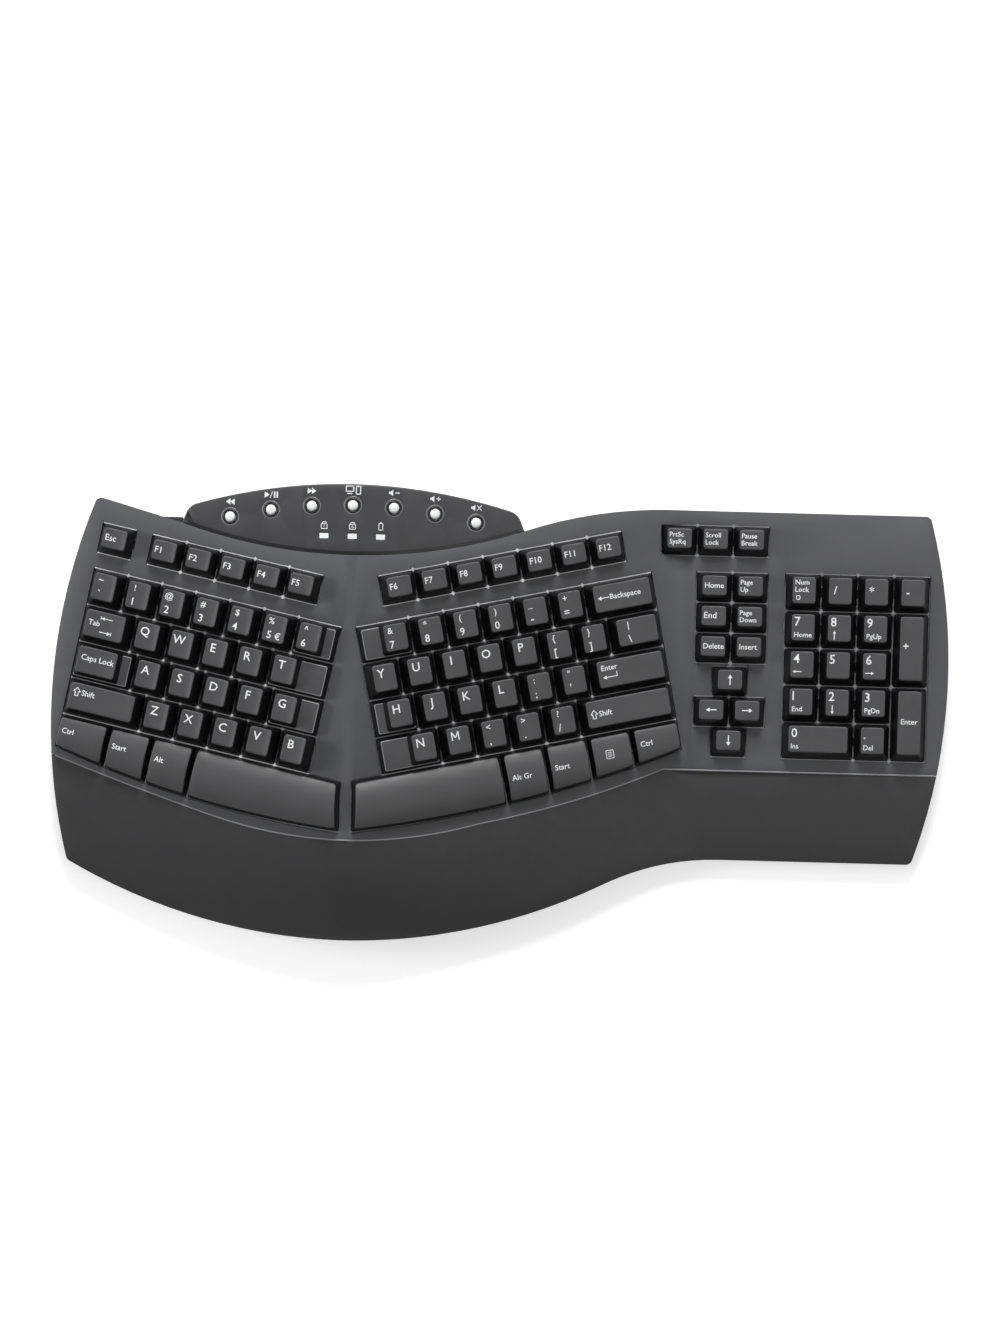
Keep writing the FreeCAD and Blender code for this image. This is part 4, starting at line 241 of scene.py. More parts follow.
class Field:
    """A frame on the deck, its X along the key rows. Its point middle stands over plan."""
    def __init__(self, rise, turn, plan, middle):
        self.z = Vector((-rise, -SLOPE, 1.0)).normalized()
        along = Vector((1.0, 0.0, rise)).normalized()
        up = self.z.cross(along)
        self.x = along * math.cos(turn) + up * math.sin(turn)
        self.y = up * math.cos(turn) - along * math.sin(turn)
        point = Vector((plan[0], plan[1], deck_height(*plan)))
        self.origin = point - self.x * middle[0] - self.y * middle[1]

    def matrix(self):
        m = Matrix((self.x, self.y, self.z)).transposed().to_4x4()
        m.translation = self.origin
        return m


LEFT = Field(math.tan(TENT), -TURN, LEFT_PLACE, LEFT_MIDDLE)
RIGHT = Field(-math.tan(TENT), TURN, RIGHT_PLACE, RIGHT_MIDDLE)
PAD = Field(0.0, 0.0, PAD_PLACE, (0.0, 0.0))

# Rows of keys

STEP_RIGHT, STEP_LEFT = "right", "left"
FUNCTION_Y, FUNCTION_DEPTH = 25.5, 15.8
ESCAPE_COLUMN, F1_COLUMN, F6_COLUMN = 0.47, 1.93, 1.36
NAV, NAV_ROW, ARROW_GAP = 18.6, 15.7, 1.4
NAV_X, NAV_Y = 109.3 - PAD_PLACE[0], 69.9 - PAD_PLACE[1]
PRINT_X, PRINT_Y = 90.6 - PAD_PLACE[0], 93.8 - PAD_PLACE[1]
ARROW_X = NAV_X + 0.5 * NAV
UP_Y = NAV_Y - 3 * NAV_ROW - ARROW_GAP
PAD_COLUMN, PAD_ROW = 18.7, 19.2


def letters(node, field, column, row, keys):
    return node, field, "letter", column * COLUMN, -row * ROW, ROW, COLUMN, keys


def functions(node, field, column, names):
    return (node, field, "low", (column - 0.5) * COLUMN, FUNCTION_Y, FUNCTION_DEPTH, COLUMN,
            single(names, "small"))


def island(node, x, y, *legends):
    """Low keys between the letters and the number pad, x and y at the first one's middle."""
    return (node, PAD, "low", x - 0.5 * NAV, y, NAV_ROW, NAV, [(1, legend) for legend in legends])


def pad(node, column, row, *legends, wide=1, deep=1):
    return (node, PAD, "pad", (column - 0.5) * PAD_COLUMN, -row * PAD_ROW, deep * PAD_ROW,
            PAD_COLUMN, [(wide, legend) for legend in legends])


def pairs(text):
    """Two-legend keys: each word is the upper and the lower sign."""
    return [(1, ("two", word[0], word[1])) for word in text.split()]


def single(text, kind="letter"):
    return [(1, (kind, sign)) for sign in text.split()]


ROWS = [
    # node, field, form of the caps, first x, middle y, cell depth, column, then for each key its
    # width in columns, its legend and, for a stepped key, its raised part and that part's side
    letters("number_keys_left", LEFT, 0, 0,
            pairs("~` !1 @2 #3 $4") + [(1, ("two", "%", "5", "€")),
                                       (1.25, ("two", "^", "6"), 1.0, STEP_RIGHT)]),
    letters("tab_key", LEFT, 0, 1, [(1.5, ("tab",))]),
    letters("top_row_left", LEFT, 1.5, 1,
            single("Q W E R") + [(1.75, ("letter", "T"), 1.0, STEP_RIGHT)]),
    letters("caps_lock_key", LEFT, 0, 2, [(1.75, ("word", "Caps Lock"), 1.5, STEP_RIGHT)]),
    letters("home_row_left", LEFT, 1.75, 2,
            single("A S D F") + [(1.5, ("letter", "G"), 1.0, STEP_RIGHT)]),
    letters("shift_key_left", LEFT, 0, 3, [(2.25, ("shift", 0.32))]),
    letters("lower_row_left", LEFT, 2.25, 3, single("Z X C V B")),
    letters("number_keys_right", RIGHT, 0, 0,
            [(1.5, ("two", "&", "7"), 1.0, STEP_LEFT)] + pairs("*8 (9 )0 _- +=")),
    letters("backspace_key", RIGHT, 6.5, 0, [(2, ("backspace",))]),
    letters("top_row_right", RIGHT, 0, 1, single("Y U I O P") + pairs("{[ }]")),
    letters("backslash_key", RIGHT, 7, 1, [(1.5, ("two", "|", "\\"))]),
    letters("home_row_right", RIGHT, 0, 2,
            [(1.25, ("letter", "H"), 1.0, STEP_LEFT)] + single("J K L") + pairs(":; \"'")),
    letters("enter_key", RIGHT, 6.25, 2, [(2.25, ("enter",))]),
    letters("lower_row_right", RIGHT, 0, 3,
            [(1.75, ("letter", "N"), 1.0, STEP_LEFT)] + single("M") + pairs("<, >. ?/")),
    letters("shift_key_right", RIGHT, 5.75, 3, [(2.75, ("shift", 0.5))]),
    functions("escape_key", LEFT, ESCAPE_COLUMN, "Esc"),
    functions("function_keys_left", LEFT, F1_COLUMN, "F1 F2 F3 F4 F5"),
    functions("function_keys_right", RIGHT, F6_COLUMN, "F6 F7 F8 F9 F10 F11 F12"),
    island("system_keys", PRINT_X, PRINT_Y, ("lines", "PrtSc", "SysRq"),
           ("lines", "Scroll", "Lock"), ("lines", "Pause", "Break")),
    island("navigation_keys", NAV_X, NAV_Y, ("small", "Home"), ("lines", "Page", "Up")),
    island("navigation_keys", NAV_X, NAV_Y - NAV_ROW, ("small", "End"),
           ("lines", "Page", "Down")),
    island("navigation_keys", NAV_X, NAV_Y - 2 * NAV_ROW, ("small", "Delete"),
           ("small", "Insert")),
    island("arrow_keys", ARROW_X, UP_Y, ("arrow", 90)),
    island("arrow_keys", NAV_X, UP_Y - NAV_ROW, ("arrow", 180), ("arrow", 0)),
    island("arrow_keys", ARROW_X, UP_Y - 2 * NAV_ROW, ("arrow", 270)),
    pad("pad_top_keys", 0, 0, ("padlock",), ("sign", "/"), ("sign", "*"), ("sign", "-")),
    pad("pad_keys_789", 0, 1, ("number", "7", "Home"), ("number", "8", 90),
        ("number", "9", "PgUp")),
    pad("pad_keys_456", 0, 2, ("number", "4", 180), ("number", "5", ""), ("number", "6", 0)),
    pad("pad_keys_123", 0, 3, ("number", "1", "End"), ("number", "2", 270),
        ("number", "3", "PgDn")),
    pad("pad_plus_key", 3, 1.5, ("middle", "+"), deep=2),
    pad("pad_enter_key", 3, 3.5, ("middle", "Enter"), deep=2),
    pad("pad_zero_key", 0, 4, ("number", "0", "Ins"), wide=2),
    pad("pad_keys_123", 2, 4, ("number", ".", "Del")),
]


class Builder:
    """Collects faces of one piece, in millimetres of a field, with material numbers."""
    def __init__(self):
        self.points = []
        self.faces = []

    def ring(self, points):
        start = len(self.points)
        self.points.extend(points)
        return list(range(start, start + len(points)))

    def skin(self, lower, upper, material):
        count = len(lower)
        for k in range(count):
            after = (k + 1) % count
            self.faces.append(((lower[k], lower[after], upper[after], upper[k]), material))

    def skins(self, rings, material):
        """Bands between neighbouring rings."""
        for lower, upper in zip(rings, rings[1:]):
            self.skin(lower, upper, material)

    def close(self, ring, material):
        self.faces.append((tuple(ring), material))

    def piece(self, name, matrix, materials, smooth=math.radians(40)):
        mesh = bpy.data.meshes.new(name)
        mesh.from_pydata([(matrix @ Vector(p)) * MM for p in self.points], [],
                         [face for face, material in self.faces])
        for material in materials:
            mesh.materials.append(material)
        for polygon, (face, material) in zip(mesh.polygons, self.faces):
            polygon.material_index = material
        mesh.validate()
        mesh.shade_smooth()
        mesh.set_sharp_from_angle(angle=smooth)
        obj = bpy.data.objects.new(name, mesh)
        bpy.context.scene.collection.objects.link(obj)
        return obj


# Keycaps: drafted sides, a rounded edge and a dished top

TOP, SKIRT, EDGE = 0, 1, 2
CAP_FORMS = {
    # form: height, how far sides, rear and front draw in
    "letter": (8.8, 3.1, 0.95, 3.85),
    "pad": (8.4, 3.1, 0.95, 3.85),
    "low": (7.0, 2.7, 1.2, 3.6),
}
CAP_GAP = 0.7
CAP_FOOT = 0.1
SKIRT_RINGS = ((0.0, 1.6), (0.45, 1.5), (0.74, 1.4))
CAP_ROUNDING, ROUNDING_ANGLES = 0.55, (10, 35, 60, 90)
CAP_CORNER, DISH_CORNER = 1.4, 0.85
DISH, DISH_SQUARE, DISH_FOURTH = 0.9, 0.4, 0.6
DISH_SHARES = (0.88, 0.75, 0.58, 0.4, 0.2)
CORNER_STEPS, EDGE_STEPS, SIDE_STEPS = 4, 8, 3

STEP_SIDE, STEP_CORNER, STEP_HEIGHT = 1.4, 0.8, 4.2
# share of the low part's draft, further inset, height
STEP_PROFILE = ((0, 0, CAP_FOOT), (0.9, 0, STEP_HEIGHT - 0.4), (1, 0.1, STEP_HEIGHT - 0.1),
                (1, 0.45, STEP_HEIGHT))


def inset_box(box, left, right, front, rear):
    return box[0] + left, box[1] - right, box[2] + front, box[3] - rear


def even_box(box, inset):
    return inset_box(box, inset, inset, inset, inset)


def rounded_ring(x0, x1, y0, y1, radius, height):
    """Points of a rounded rectangle, counter-clockwise. Height gives Z for x and y."""
    points = []
    corners = [(x1 - radius, y0 + radius, -90), (x1 - radius, y1 - radius, 0),
               (x0 + radius, y1 - radius, 90), (x0 + radius, y0 + radius, 180)]
    for index, (cx, cy, start) in enumerate(corners):
        for k in range(CORNER_STEPS + 1):
            angle = math.radians(start + 90 * k / CORNER_STEPS)
            points.append((cx + radius * math.cos(angle), cy + radius * math.sin(angle)))
        nx, ny, turn = corners[(index + 1) % 4]
        angle = math.radians(turn)
        one, two = points[-1], (nx + radius * math.cos(angle), ny + radius * math.sin(angle))
        steps = SIDE_STEPS if index % 2 == 0 else EDGE_STEPS
        for k in range(1, steps):
            points.append(tuple(a + (b - a) * k / steps for a, b in zip(one, two)))
    return [(x, y, height(x, y)) for x, y in points]


def cap(builder, cell, form):
    """A dished cap in its cell. Returns its top's height for x and y, and its top's box."""
    height, side, rear, front = CAP_FORMS[form]
    foot = even_box(cell, CAP_GAP / 2)
    top = inset_box(foot, side, side, front, rear)
    middle = (top[0] + top[1]) / 2
    reach = (top[1] - top[0]) / 2

    def surface(x, y):
        share = min(1.0, abs(x - middle) / reach)
        return height - DISH + DISH * (DISH_SQUARE * share ** 2 + DISH_FOURTH * share ** 4)

    rings = []
    for share, radius in SKIRT_RINGS:
        box = [f + (t - f) * share for f, t in zip(foot, top)]
        z = CAP_FOOT + (height - CAP_FOOT) * share
        rings.append(builder.ring(rounded_ring(*box, radius, lambda x, y: z)))
    for angle in ROUNDING_ANGLES:
        turn = math.radians(angle)
        sink = CAP_ROUNDING * (1 - math.sin(turn))
        rings.append(builder.ring(rounded_ring(
            *even_box(top, CAP_ROUNDING * (1 - math.cos(turn))), CAP_CORNER,
            lambda x, y: surface(x, y) - sink)))
    dish = even_box(top, CAP_ROUNDING)
    centre = (middle, middle, (dish[2] + dish[3]) / 2, (dish[2] + dish[3]) / 2)
    for share in DISH_SHARES:
        box = [c + (m - c) * (1 - share) for c, m in zip(dish, centre)]
        rings.append(builder.ring(rounded_ring(*box, DISH_CORNER * share, surface)))
    first = len(SKIRT_RINGS)
    # the sides take the painted shade, the top its own tone
    builder.skins(rings[:first + 1], SKIRT)
    builder.skins(rings[first:], TOP)
    builder.close(rings[-1], TOP)
    return surface, top


def step(builder, cell):
    """The low part of a stepped key. Its last band, the rounded edge, is coloured light as a
    painted highlight.
    """
    foot = even_box(cell, CAP_GAP / 2)
    rings = [builder.ring(rounded_ring(*even_box(foot, STEP_SIDE * share + inset), STEP_CORNER,
                                       lambda x, y: z))
             for share, inset, z in STEP_PROFILE]
    builder.skins(rings[:3], SKIRT)
    builder.skins(rings[2:], EDGE)
    builder.close(rings[-1], TOP)


# Bottom row: large caps with rolled tops, whose fronts follow a curve

FIELD_BOTTOM = -3.5 * ROW
LEFT_FRONT, RIGHT_FRONT = (104.0, -95.6, 520.0), (31.5, -95.5, 663.0)
THUMB_HEIGHT, THUMB_CROWN, THUMB_STRIP = 7.8, 24.0, 2.7
THUMB_SIDE, THUMB_REAR, THUMB_FRONT = 1.2, 1.0, 1.8
THUMB_EDGE, THUMB_CORNER = 0.6, 1.5
THUMB_SKIRT = ((0.0, 0.9), (0.5, 1.1))
THUMB_ANGLES = (0, 25, 50, 70, 90)
THUMB_SHARES = (0.84, 0.67, 0.5, 0.33, 0.16)
THUMB_LEVEL, FRONT_LEVEL, FRONT_TURNS = -80.0, -95.0, 6
SHORT_CAP, SHORT_STEPS, LONG_STEPS, THUMB_END_STEPS = 40, 10, 28, 5
THUMB_CORNER_STEPS = 4


def thumb_front(field, x):
    peak, level, radius = LEFT_FRONT if field is LEFT else RIGHT_FRONT
    return level + radius - math.sqrt(radius ** 2 - (x - peak) ** 2)


def thumb_end(field):
    """The space bars' ends run beside the crest."""
    plan_x = CREST + (-1 if field is LEFT else 1) * THUMB_STRIP
    return lambda y: (plan_x - field.origin.x - field.y.x * y) / field.x.x


def upright(units):
    return lambda y: units * COLUMN


def thumb_corners(field, left, right, side, rear, front):
    """Corners of a bottom row cap, drawn in by three distances, from the rear right one on."""
    half = CAP_GAP / 2
    y_rear = FIELD_BOTTOM - half - rear

    def at_front(edge, hand):
        y = FRONT_LEVEL
        for turn in range(FRONT_TURNS):
            x = edge(y) + hand * (half + side)
            y = thumb_front(field, x) + half + front
        return Vector((x, y))

    return [Vector((right(y_rear) - half - side, y_rear)),
            Vector((left(y_rear) + half + side, y_rear)), at_front(left, 1), at_front(right, -1)]


def thumb_ring(field, corners, front, radius, steps):
    """Plan points of a bottom row cap's outline, whose front is drawn in."""
    points = []
    for k in range(4):
        start, end = corners[k], corners[(k + 1) % 4]
        out = start + (end - start).normalized() * radius
        into = start + (corners[k - 1] - start).normalized() * radius
        for j in range(THUMB_CORNER_STEPS + 1):
            t = j / THUMB_CORNER_STEPS
            points.append(into * (1 - t) ** 2 + start * 2 * t * (1 - t) + out * t * t)
        last = end + (start - end).normalized() * radius
        count = THUMB_END_STEPS if k % 2 else steps
        for j in range(1, count):
            point = out + (last - out) * j / count
            if k == 2:
                point = Vector((point.x, thumb_front(field, point.x) + CAP_GAP / 2 + front))
            points.append(point)
    return points


def thumb(builder, field, left, right):
    """A bottom row cap. Returns its surface and the box of its top."""
    x_mid = (left(THUMB_LEVEL) + right(THUMB_LEVEL)) / 2
    y_mid = (FIELD_BOTTOM + thumb_front(field, x_mid)) / 2
    short = right(THUMB_LEVEL) - left(THUMB_LEVEL) < SHORT_CAP

    def surface(x, y):
        return THUMB_HEIGHT - THUMB_CROWN + math.sqrt(THUMB_CROWN ** 2 - (y - y_mid) ** 2)

    def level(share, radius, sink, inset):
        side, rear, front = (d * share + inset for d in (THUMB_SIDE, THUMB_REAR, THUMB_FRONT))
        corners = thumb_corners(field, left, right, side, rear, front)
        plan = thumb_ring(field, corners, front, radius, SHORT_STEPS if short else LONG_STEPS)
        return plan, builder.ring([(p.x, p.y, CAP_FOOT + (surface(p.x, p.y) - sink - CAP_FOOT)
                                    * share) for p in plan])

    rings = [level(share, radius, 0, 0)[1] for share, radius in THUMB_SKIRT]
    for angle in THUMB_ANGLES:
        turn = math.radians(angle)
        plan, ring = level(1.0, THUMB_CORNER, THUMB_EDGE * (1 - math.sin(turn)),
                           THUMB_EDGE * (1 - math.cos(turn)))
        rings.append(ring)
    half = (FIELD_BOTTOM - thumb_front(field, x_mid)) / 2
    spine_left, spine_right = min(p.x for p in plan) + half, max(p.x for p in plan) - half
    for share in THUMB_SHARES:
        inner = []
        for p in plan:
            spine = Vector((max(spine_left, min(spine_right, p.x)), y_mid))
            q = spine + (p - spine) * share
            inner.append((q.x, q.y, surface(q.x, q.y)))
        rings.append(builder.ring(inner))
    first = len(THUMB_SKIRT)
    # the sides take the painted shade, the top its own tone
    builder.skins(rings[:first + 1], SKIRT)
    builder.skins(rings[first:], TOP)
    builder.close(rings[-1], TOP)
    y_rear = FIELD_BOTTOM - CAP_GAP / 2 - THUMB_REAR
    side = CAP_GAP / 2 + THUMB_SIDE
    return surface, (left(y_rear) + side, right(y_rear) - side,
                     thumb_front(field, x_mid) + CAP_GAP / 2 + THUMB_FRONT, y_rear)


def thumbs(node, field, edges, legends):
    """Bottom row keys between neighbouring edges."""
    return [(node, field, edge, after, legend)
            for edge, after, legend in zip(edges, edges[1:], legends)]


THUMBS = (
    thumbs("modifier_keys_left", LEFT, [upright(u) for u in (0.0, 1.5, 2.75, 4.0)],
           [("low_word", "Ctrl", 0.46), ("low_word", "Start", 0.46), ("low_word", "Alt", 0.46)])
    + thumbs("space_bar_left", LEFT, [upright(4.0), thumb_end(LEFT)], [None])
    + thumbs("space_bar_right", RIGHT, [thumb_end(RIGHT), upright(3.35)], [None])
    + thumbs("modifier_keys_right", RIGHT, [upright(u) for u in (3.35, 4.6, 5.85, 7.1, 8.5)],
             [("low_word", "Alt Gr", 0.58), ("low_word", "Start", 0.58), ("menu",),
              ("low_word", "Ctrl", 0.58)])
)


# Legends: flat letters laid on the caps

INK_LIFT = 0.07
INK_SPREAD = 0.008
CAPITAL = 0.70
LINE_PART = 1.2


def strokes(path, width):
    """A sign drawn with straight strokes, as glyph() gives it."""
    points, faces = [], []
    for one, two in zip(path, path[1:]):
        side = Vector((one[1] - two[1], two[0] - one[0])).normalized() * width / 2
        start = len(points)
        for end, hand in ((one, 1), (one, -1), (two, -1), (two, 1)):
            points.append((end[0] + side.x * hand, end[1] + side.y * hand))
        faces.append(tuple(range(start, start + 4)))
    return points, faces, max(x for x, y in path) + width / 2


# The M stays open at the caps' size only when it is drawn with thin strokes
GLYPHS = {"M": strokes([(0.07, 0.0), (0.07, 1.0), (0.47, 0.3), (0.87, 1.0), (0.87, 0.0)], 0.135)}


def glyph(text):
    """Points and faces of a word, its capitals one unit high, from its lower left."""
    if text not in GLYPHS:
        curve = bpy.data.curves.new("legend", "FONT")
        curve.body = text
        curve.size = 1.0
        curve.resolution_u = 2
        curve.offset = INK_SPREAD
        holder = bpy.data.objects.new("legend", curve)
        bpy.context.scene.collection.objects.link(holder)
        bpy.context.view_layer.update()
        mesh = bpy.data.meshes.new_from_object(
            holder.evaluated_get(bpy.context.evaluated_depsgraph_get()))
        points = [(v.co.x, v.co.y) for v in mesh.vertices]
        faces = [tuple(p.vertices) for p in mesh.polygons]
        bpy.data.objects.remove(holder)
        bpy.data.curves.remove(curve)
        bpy.data.meshes.remove(mesh)
        low = min(x for x, y in points)
        wide = max(x for x, y in points) - low
        GLYPHS[text] = ([((x - low) / CAPITAL, y / CAPITAL) for x, y in points], faces,
                        wide / CAPITAL)
    return GLYPHS[text]


class Legend:
    """Draws on one key's top: origin at the top's rear left corner, in millimetres."""
    def __init__(self, builder, surface, top):
        self.builder = builder
        self.surface = surface
        self.left, self.rear = top[0], top[3]
        self.wide, self.deep = top[1] - top[0], top[3] - top[2]

    def put(self, points, faces):
        start = len(self.builder.points)
        for x, y in points:
            px, py = self.left + x, self.rear + y
            self.builder.points.append((px, py, self.surface(px, py) + INK_LIFT))
        for face in faces:
            self.builder.faces.append((tuple(start + i for i in face), 0))

    def word(self, text, x, y, size, middle=False):
        points, faces, width = glyph(text)
        shift = -width / 2 if middle else 0.0
        self.put([(x + (px + shift) * size, y + py * size) for px, py in points], faces)

    def line(self, x0, y0, x1, y1, width):
        along = Vector((x1 - x0, y1 - y0))
        parts = max(1, int(along.length / LINE_PART))
        side = Vector((-along.y, along.x)).normalized() * width / 2
        points = []
        for k in range(parts + 1):
            at = Vector((x0, y0)) + along * k / parts
            points += [tuple(at + side), tuple(at - side)]
        self.put(points, [(2 * k, 2 * k + 1, 2 * k + 3, 2 * k + 2) for k in range(parts)])

    def path(self, points, x, y, width):
        """Lines from point to point, measured from x and y."""
        for one, two in zip(points, points[1:]):
            self.line(x + one[0], y + one[1], x + two[0], y + two[1], width)

    def arrow(self, x, y, angle, length, head, width):
        turn = Matrix.Rotation(math.radians(angle), 2)

        def at(u, v):
            p = turn @ Vector((u, v))
            return (x + p.x, y + p.y)

        half = length / 2
        self.line(*at(-half, 0), *at(half - head * 0.8, 0), width)
        self.put([at(half, 0), at(half - head, head * 0.6), at(half - head, -head * 0.6)],
                 [(0, 1, 2)])


def frame_path(x0, x1, y0, y1):
    """Corners of a rectangle, the first one again at the end."""
    return [(x0, y0), (x1, y0), (x1, y1), (x0, y1), (x0, y0)]


# Legends of each kind, placed from the top's rear left corner

# heights of the letters, in millimetres
LETTER, UPPER, LOWER, THIRD = 4.4, 3.2, 3.8, 3.4
SIGN, LONE_SIGN, NUMBER = 4.2, 4.0, 4.6
SHORT_WORD, WORD, WIDE_WORD, PAD_WORD, LINE_WORD = 3.2, 2.8, 2.9, 2.6, 2.5
# places of the middle of a sign, as shares of the top's width
LETTER_X, PAIR_X, THIRD_X, SIGN_X = 0.36, 0.29, 0.68, 0.28
SHIFT_ARROW = [(0, 0), (1.8, 2.1), (3.6, 0), (2.6, 0), (2.6, -2.2), (1.0, -2.2), (1.0, 0), (0, 0)]


def letter_legend(legend, sign):
    legend.word(sign, legend.wide * LETTER_X, -legend.deep * 0.48, LETTER, middle=True)


def two_legend(legend, upper, lower, third=None):
    legend.word(upper, legend.wide * PAIR_X, -legend.deep * 0.34, UPPER, middle=True)
    legend.word(lower, legend.wide * PAIR_X, -legend.deep * 0.88, LOWER, middle=True)
    if third:
        legend.word(third, legend.wide * THIRD_X, -legend.deep * 0.88, THIRD, middle=True)


def small_legend(legend, text):
    legend.word(text, 1.2, -legend.deep * 0.62, SHORT_WORD if len(text) < 4 else WORD)


def sign_legend(legend, sign):
    legend.word(sign, legend.wide * SIGN_X, -legend.deep * 0.62, SIGN, middle=True)


def middle_legend(legend, text):
    legend.word(text, 1.6, -legend.deep * 0.52, LONE_SIGN if len(text) == 1 else WORD)


def word_legend(legend, text):
    legend.word(text, 1.9, -legend.deep * 0.5, WIDE_WORD)


def lines_legend(legend, upper, lower):
    level = -legend.deep * 0.42
    legend.word(upper, 1.0, level, LINE_WORD)
    legend.word(lower, 1.0, level - 3.7, LINE_WORD)


def padlock_legend(legend):
    """The number pad's lock: two words above a ring."""
    legend.word("Num", 1.3, -3.9, PAD_WORD)
    legend.word("Lock", 1.3, -7.7, PAD_WORD)
    turns = [math.radians(45 * k) for k in range(9)]
    legend.path([(1.1 * math.cos(turn), 1.1 * math.sin(turn)) for turn in turns], 2.9, -10.6, 0.4)


def number_legend(legend, sign, second):
    """A number above a word or, where second is an angle, above an arrow."""
    legend.word(sign, 1.4, -5.9, NUMBER)
    if isinstance(second, int):
        legend.arrow(3.4, -legend.deep * 0.76, second, 4.6, 1.4, 0.45)
    elif second:
        legend.word(second, 1.3, -legend.deep * 0.86, PAD_WORD)


def arrow_legend(legend, angle):
    legend.arrow(legend.wide / 2, -legend.deep / 2, angle, 5.4, 1.9, 0.55)


def low_word_legend(legend, text, share):
    legend.word(text, 2.0, -legend.deep * share, WORD)


def menu_legend(legend):
    middle, level = legend.wide * 0.42, -legend.deep * 0.5
    legend.path(frame_path(-1.9, 1.9, -2.1, 2.1), middle, level, 0.32)
    for y in (1.0, 0.0, -1.0):
        legend.path([(-1.0, y), (1.0, y)], middle, level, 0.32)


def tab_legend(legend):
    legend.word("Tab", 1.6, -legend.deep * 0.56, WORD)
    for share, angle, stop in ((0.24, 180, -3.3), (0.76, 0, 3.3)):
        level = -legend.deep * share
        legend.arrow(11.0, level, angle, 6.0, 1.6, 0.4)
        legend.path([(stop, -0.9), (stop, 0.9)], 11.0, level, 0.4)


def shift_legend(legend, share):
    level = -legend.deep * share
    legend.path(SHIFT_ARROW, 1.8, level, 0.42)
    legend.word("Shift", 6.2, level - 1.5, WORD)


def backspace_legend(legend):
    level = -legend.deep * 0.48
    legend.arrow(4.9, level, 180, 6.0, 1.9, 0.45)
    legend.word("Backspace", 8.4, level - 1.2, WORD)


def enter_legend(legend):
    level = -legend.deep * 0.62
    legend.word("Enter", 2.0, -legend.deep * 0.36, WORD)
    legend.arrow(6.0, level, 180, 7.4, 1.8, 0.42)
    legend.path([(9.8, -0.2), (9.8, 2.4)], 0.0, level, 0.42)


LEGENDS = {
    "letter": letter_legend, "two": two_legend, "small": small_legend, "sign": sign_legend,
    "middle": middle_legend, "word": word_legend, "lines": lines_legend,
    "padlock": padlock_legend, "number": number_legend, "arrow": arrow_legend,
    "low_word": low_word_legend, "menu": menu_legend, "tab": tab_legend, "shift": shift_legend,
    "backspace": backspace_legend, "enter": enter_legend,
}

caps, inks = {}, {}


def finish_key(node, field, surface, top, spec):
    """Draws the key's legend, if it has one."""
    inked = inks.setdefault(node, (Builder(), field))[0]
    if spec:
        LEGENDS[spec[0]](Legend(inked, surface, top), *spec[1:])


for node, field, form, x, y, depth, column, keys in ROWS:
    builder = caps.setdefault(node, (Builder(), field))[0]
    rear, front = y + depth / 2, y - depth / 2
    for key in keys:
        x0, x1 = x, x + key[0] * column
        x = x1
        if len(key) > 2:
            step(builder, (x0, x1, front, rear))
            if key[3] == STEP_RIGHT:
                x1 = x0 + key[2] * column
            else:
                x0 = x1 - key[2] * column
        surface, top = cap(builder, (x0, x1, front, rear), form)
        finish_key(node, field, surface, top, key[1])

for node, field, left, right, spec in THUMBS:
    builder = caps.setdefault(node, (Builder(), field))[0]
    surface, top = thumb(builder, field, left, right)
    finish_key(node, field, surface, top, spec)

for node, (builder, field) in caps.items():
    piece = builder.piece(node + "_caps", field.matrix(), [CAP_TOP, SKIRT_PAINTED_SHADE, EDGE_HIGHLIGHT])
    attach(piece, node)
    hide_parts(node)
for node, (builder, field) in inks.items():
    if builder.points:
        piece = builder.piece(node + "_legends", field.matrix(), [INK])
        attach(piece, node)

# Ribs of the frame between the rows of caps, wider where four corners meet. Their light tone is
# the frame's own light grey raised by a painted highlight of the caps' lower edges

RIB_WIDTH, RIB_TOP, RIB_DEEP, RIB_GAP = 0.42, 0.45, 1.2, 0.2
KNOT, KNOT_TOP = 1.1, 0.35


def block(builder, plan, top):
    low, high = [builder.ring([(x, y, z) for x, y in plan]) for z in (-RIB_DEEP, top)]
    builder.skin(low, high, 0)
    builder.close(high, 0)


def bar(builder, x0, x1, y):
    half = RIB_WIDTH / 2
    block(builder, [(x0, y - half), (x1, y - half), (x1, y + half), (x0, y + half)], RIB_TOP)


def knot(builder, x, y):
    block(builder, [(x, y - KNOT), (x + KNOT, y), (x, y + KNOT), (x - KNOT, y)], KNOT_TOP)


row_edges = {}
for node, field, form, x, y, depth, column, keys in ROWS:
    for level in (y - depth / 2, y + depth / 2):
        cells = row_edges.setdefault((field, round(level, 2)), set())
        edge = x
        for key in keys:
            after = edge + key[0] * column
            cells.add((round(edge, 2), round(after, 2)))
            edge = after
for field, name, tone in ((LEFT, "left", RIB_HIGHLIGHT), (RIGHT, "right", RIB_HIGHLIGHT), (PAD, "pad", PAD_RIB_HIGHLIGHT)):
    builder = Builder()
    for (owner, level), cells in row_edges.items():
        if owner is field:
            for x0, x1 in sorted(cells):
                bar(builder, x0 + RIB_GAP, x1 - RIB_GAP, level)
            for x in sorted({x0 for x0, x1 in cells} & {x1 for x0, x1 in cells}):
                knot(builder, x, level)
    ribs = builder.piece("frame_rib_highlights_" + name, field.matrix(), [tone])
    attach(ribs, "housing")

# A bead along the seam between deck and palm rest, coloured light as a painted highlight: three
# arcs, then straight

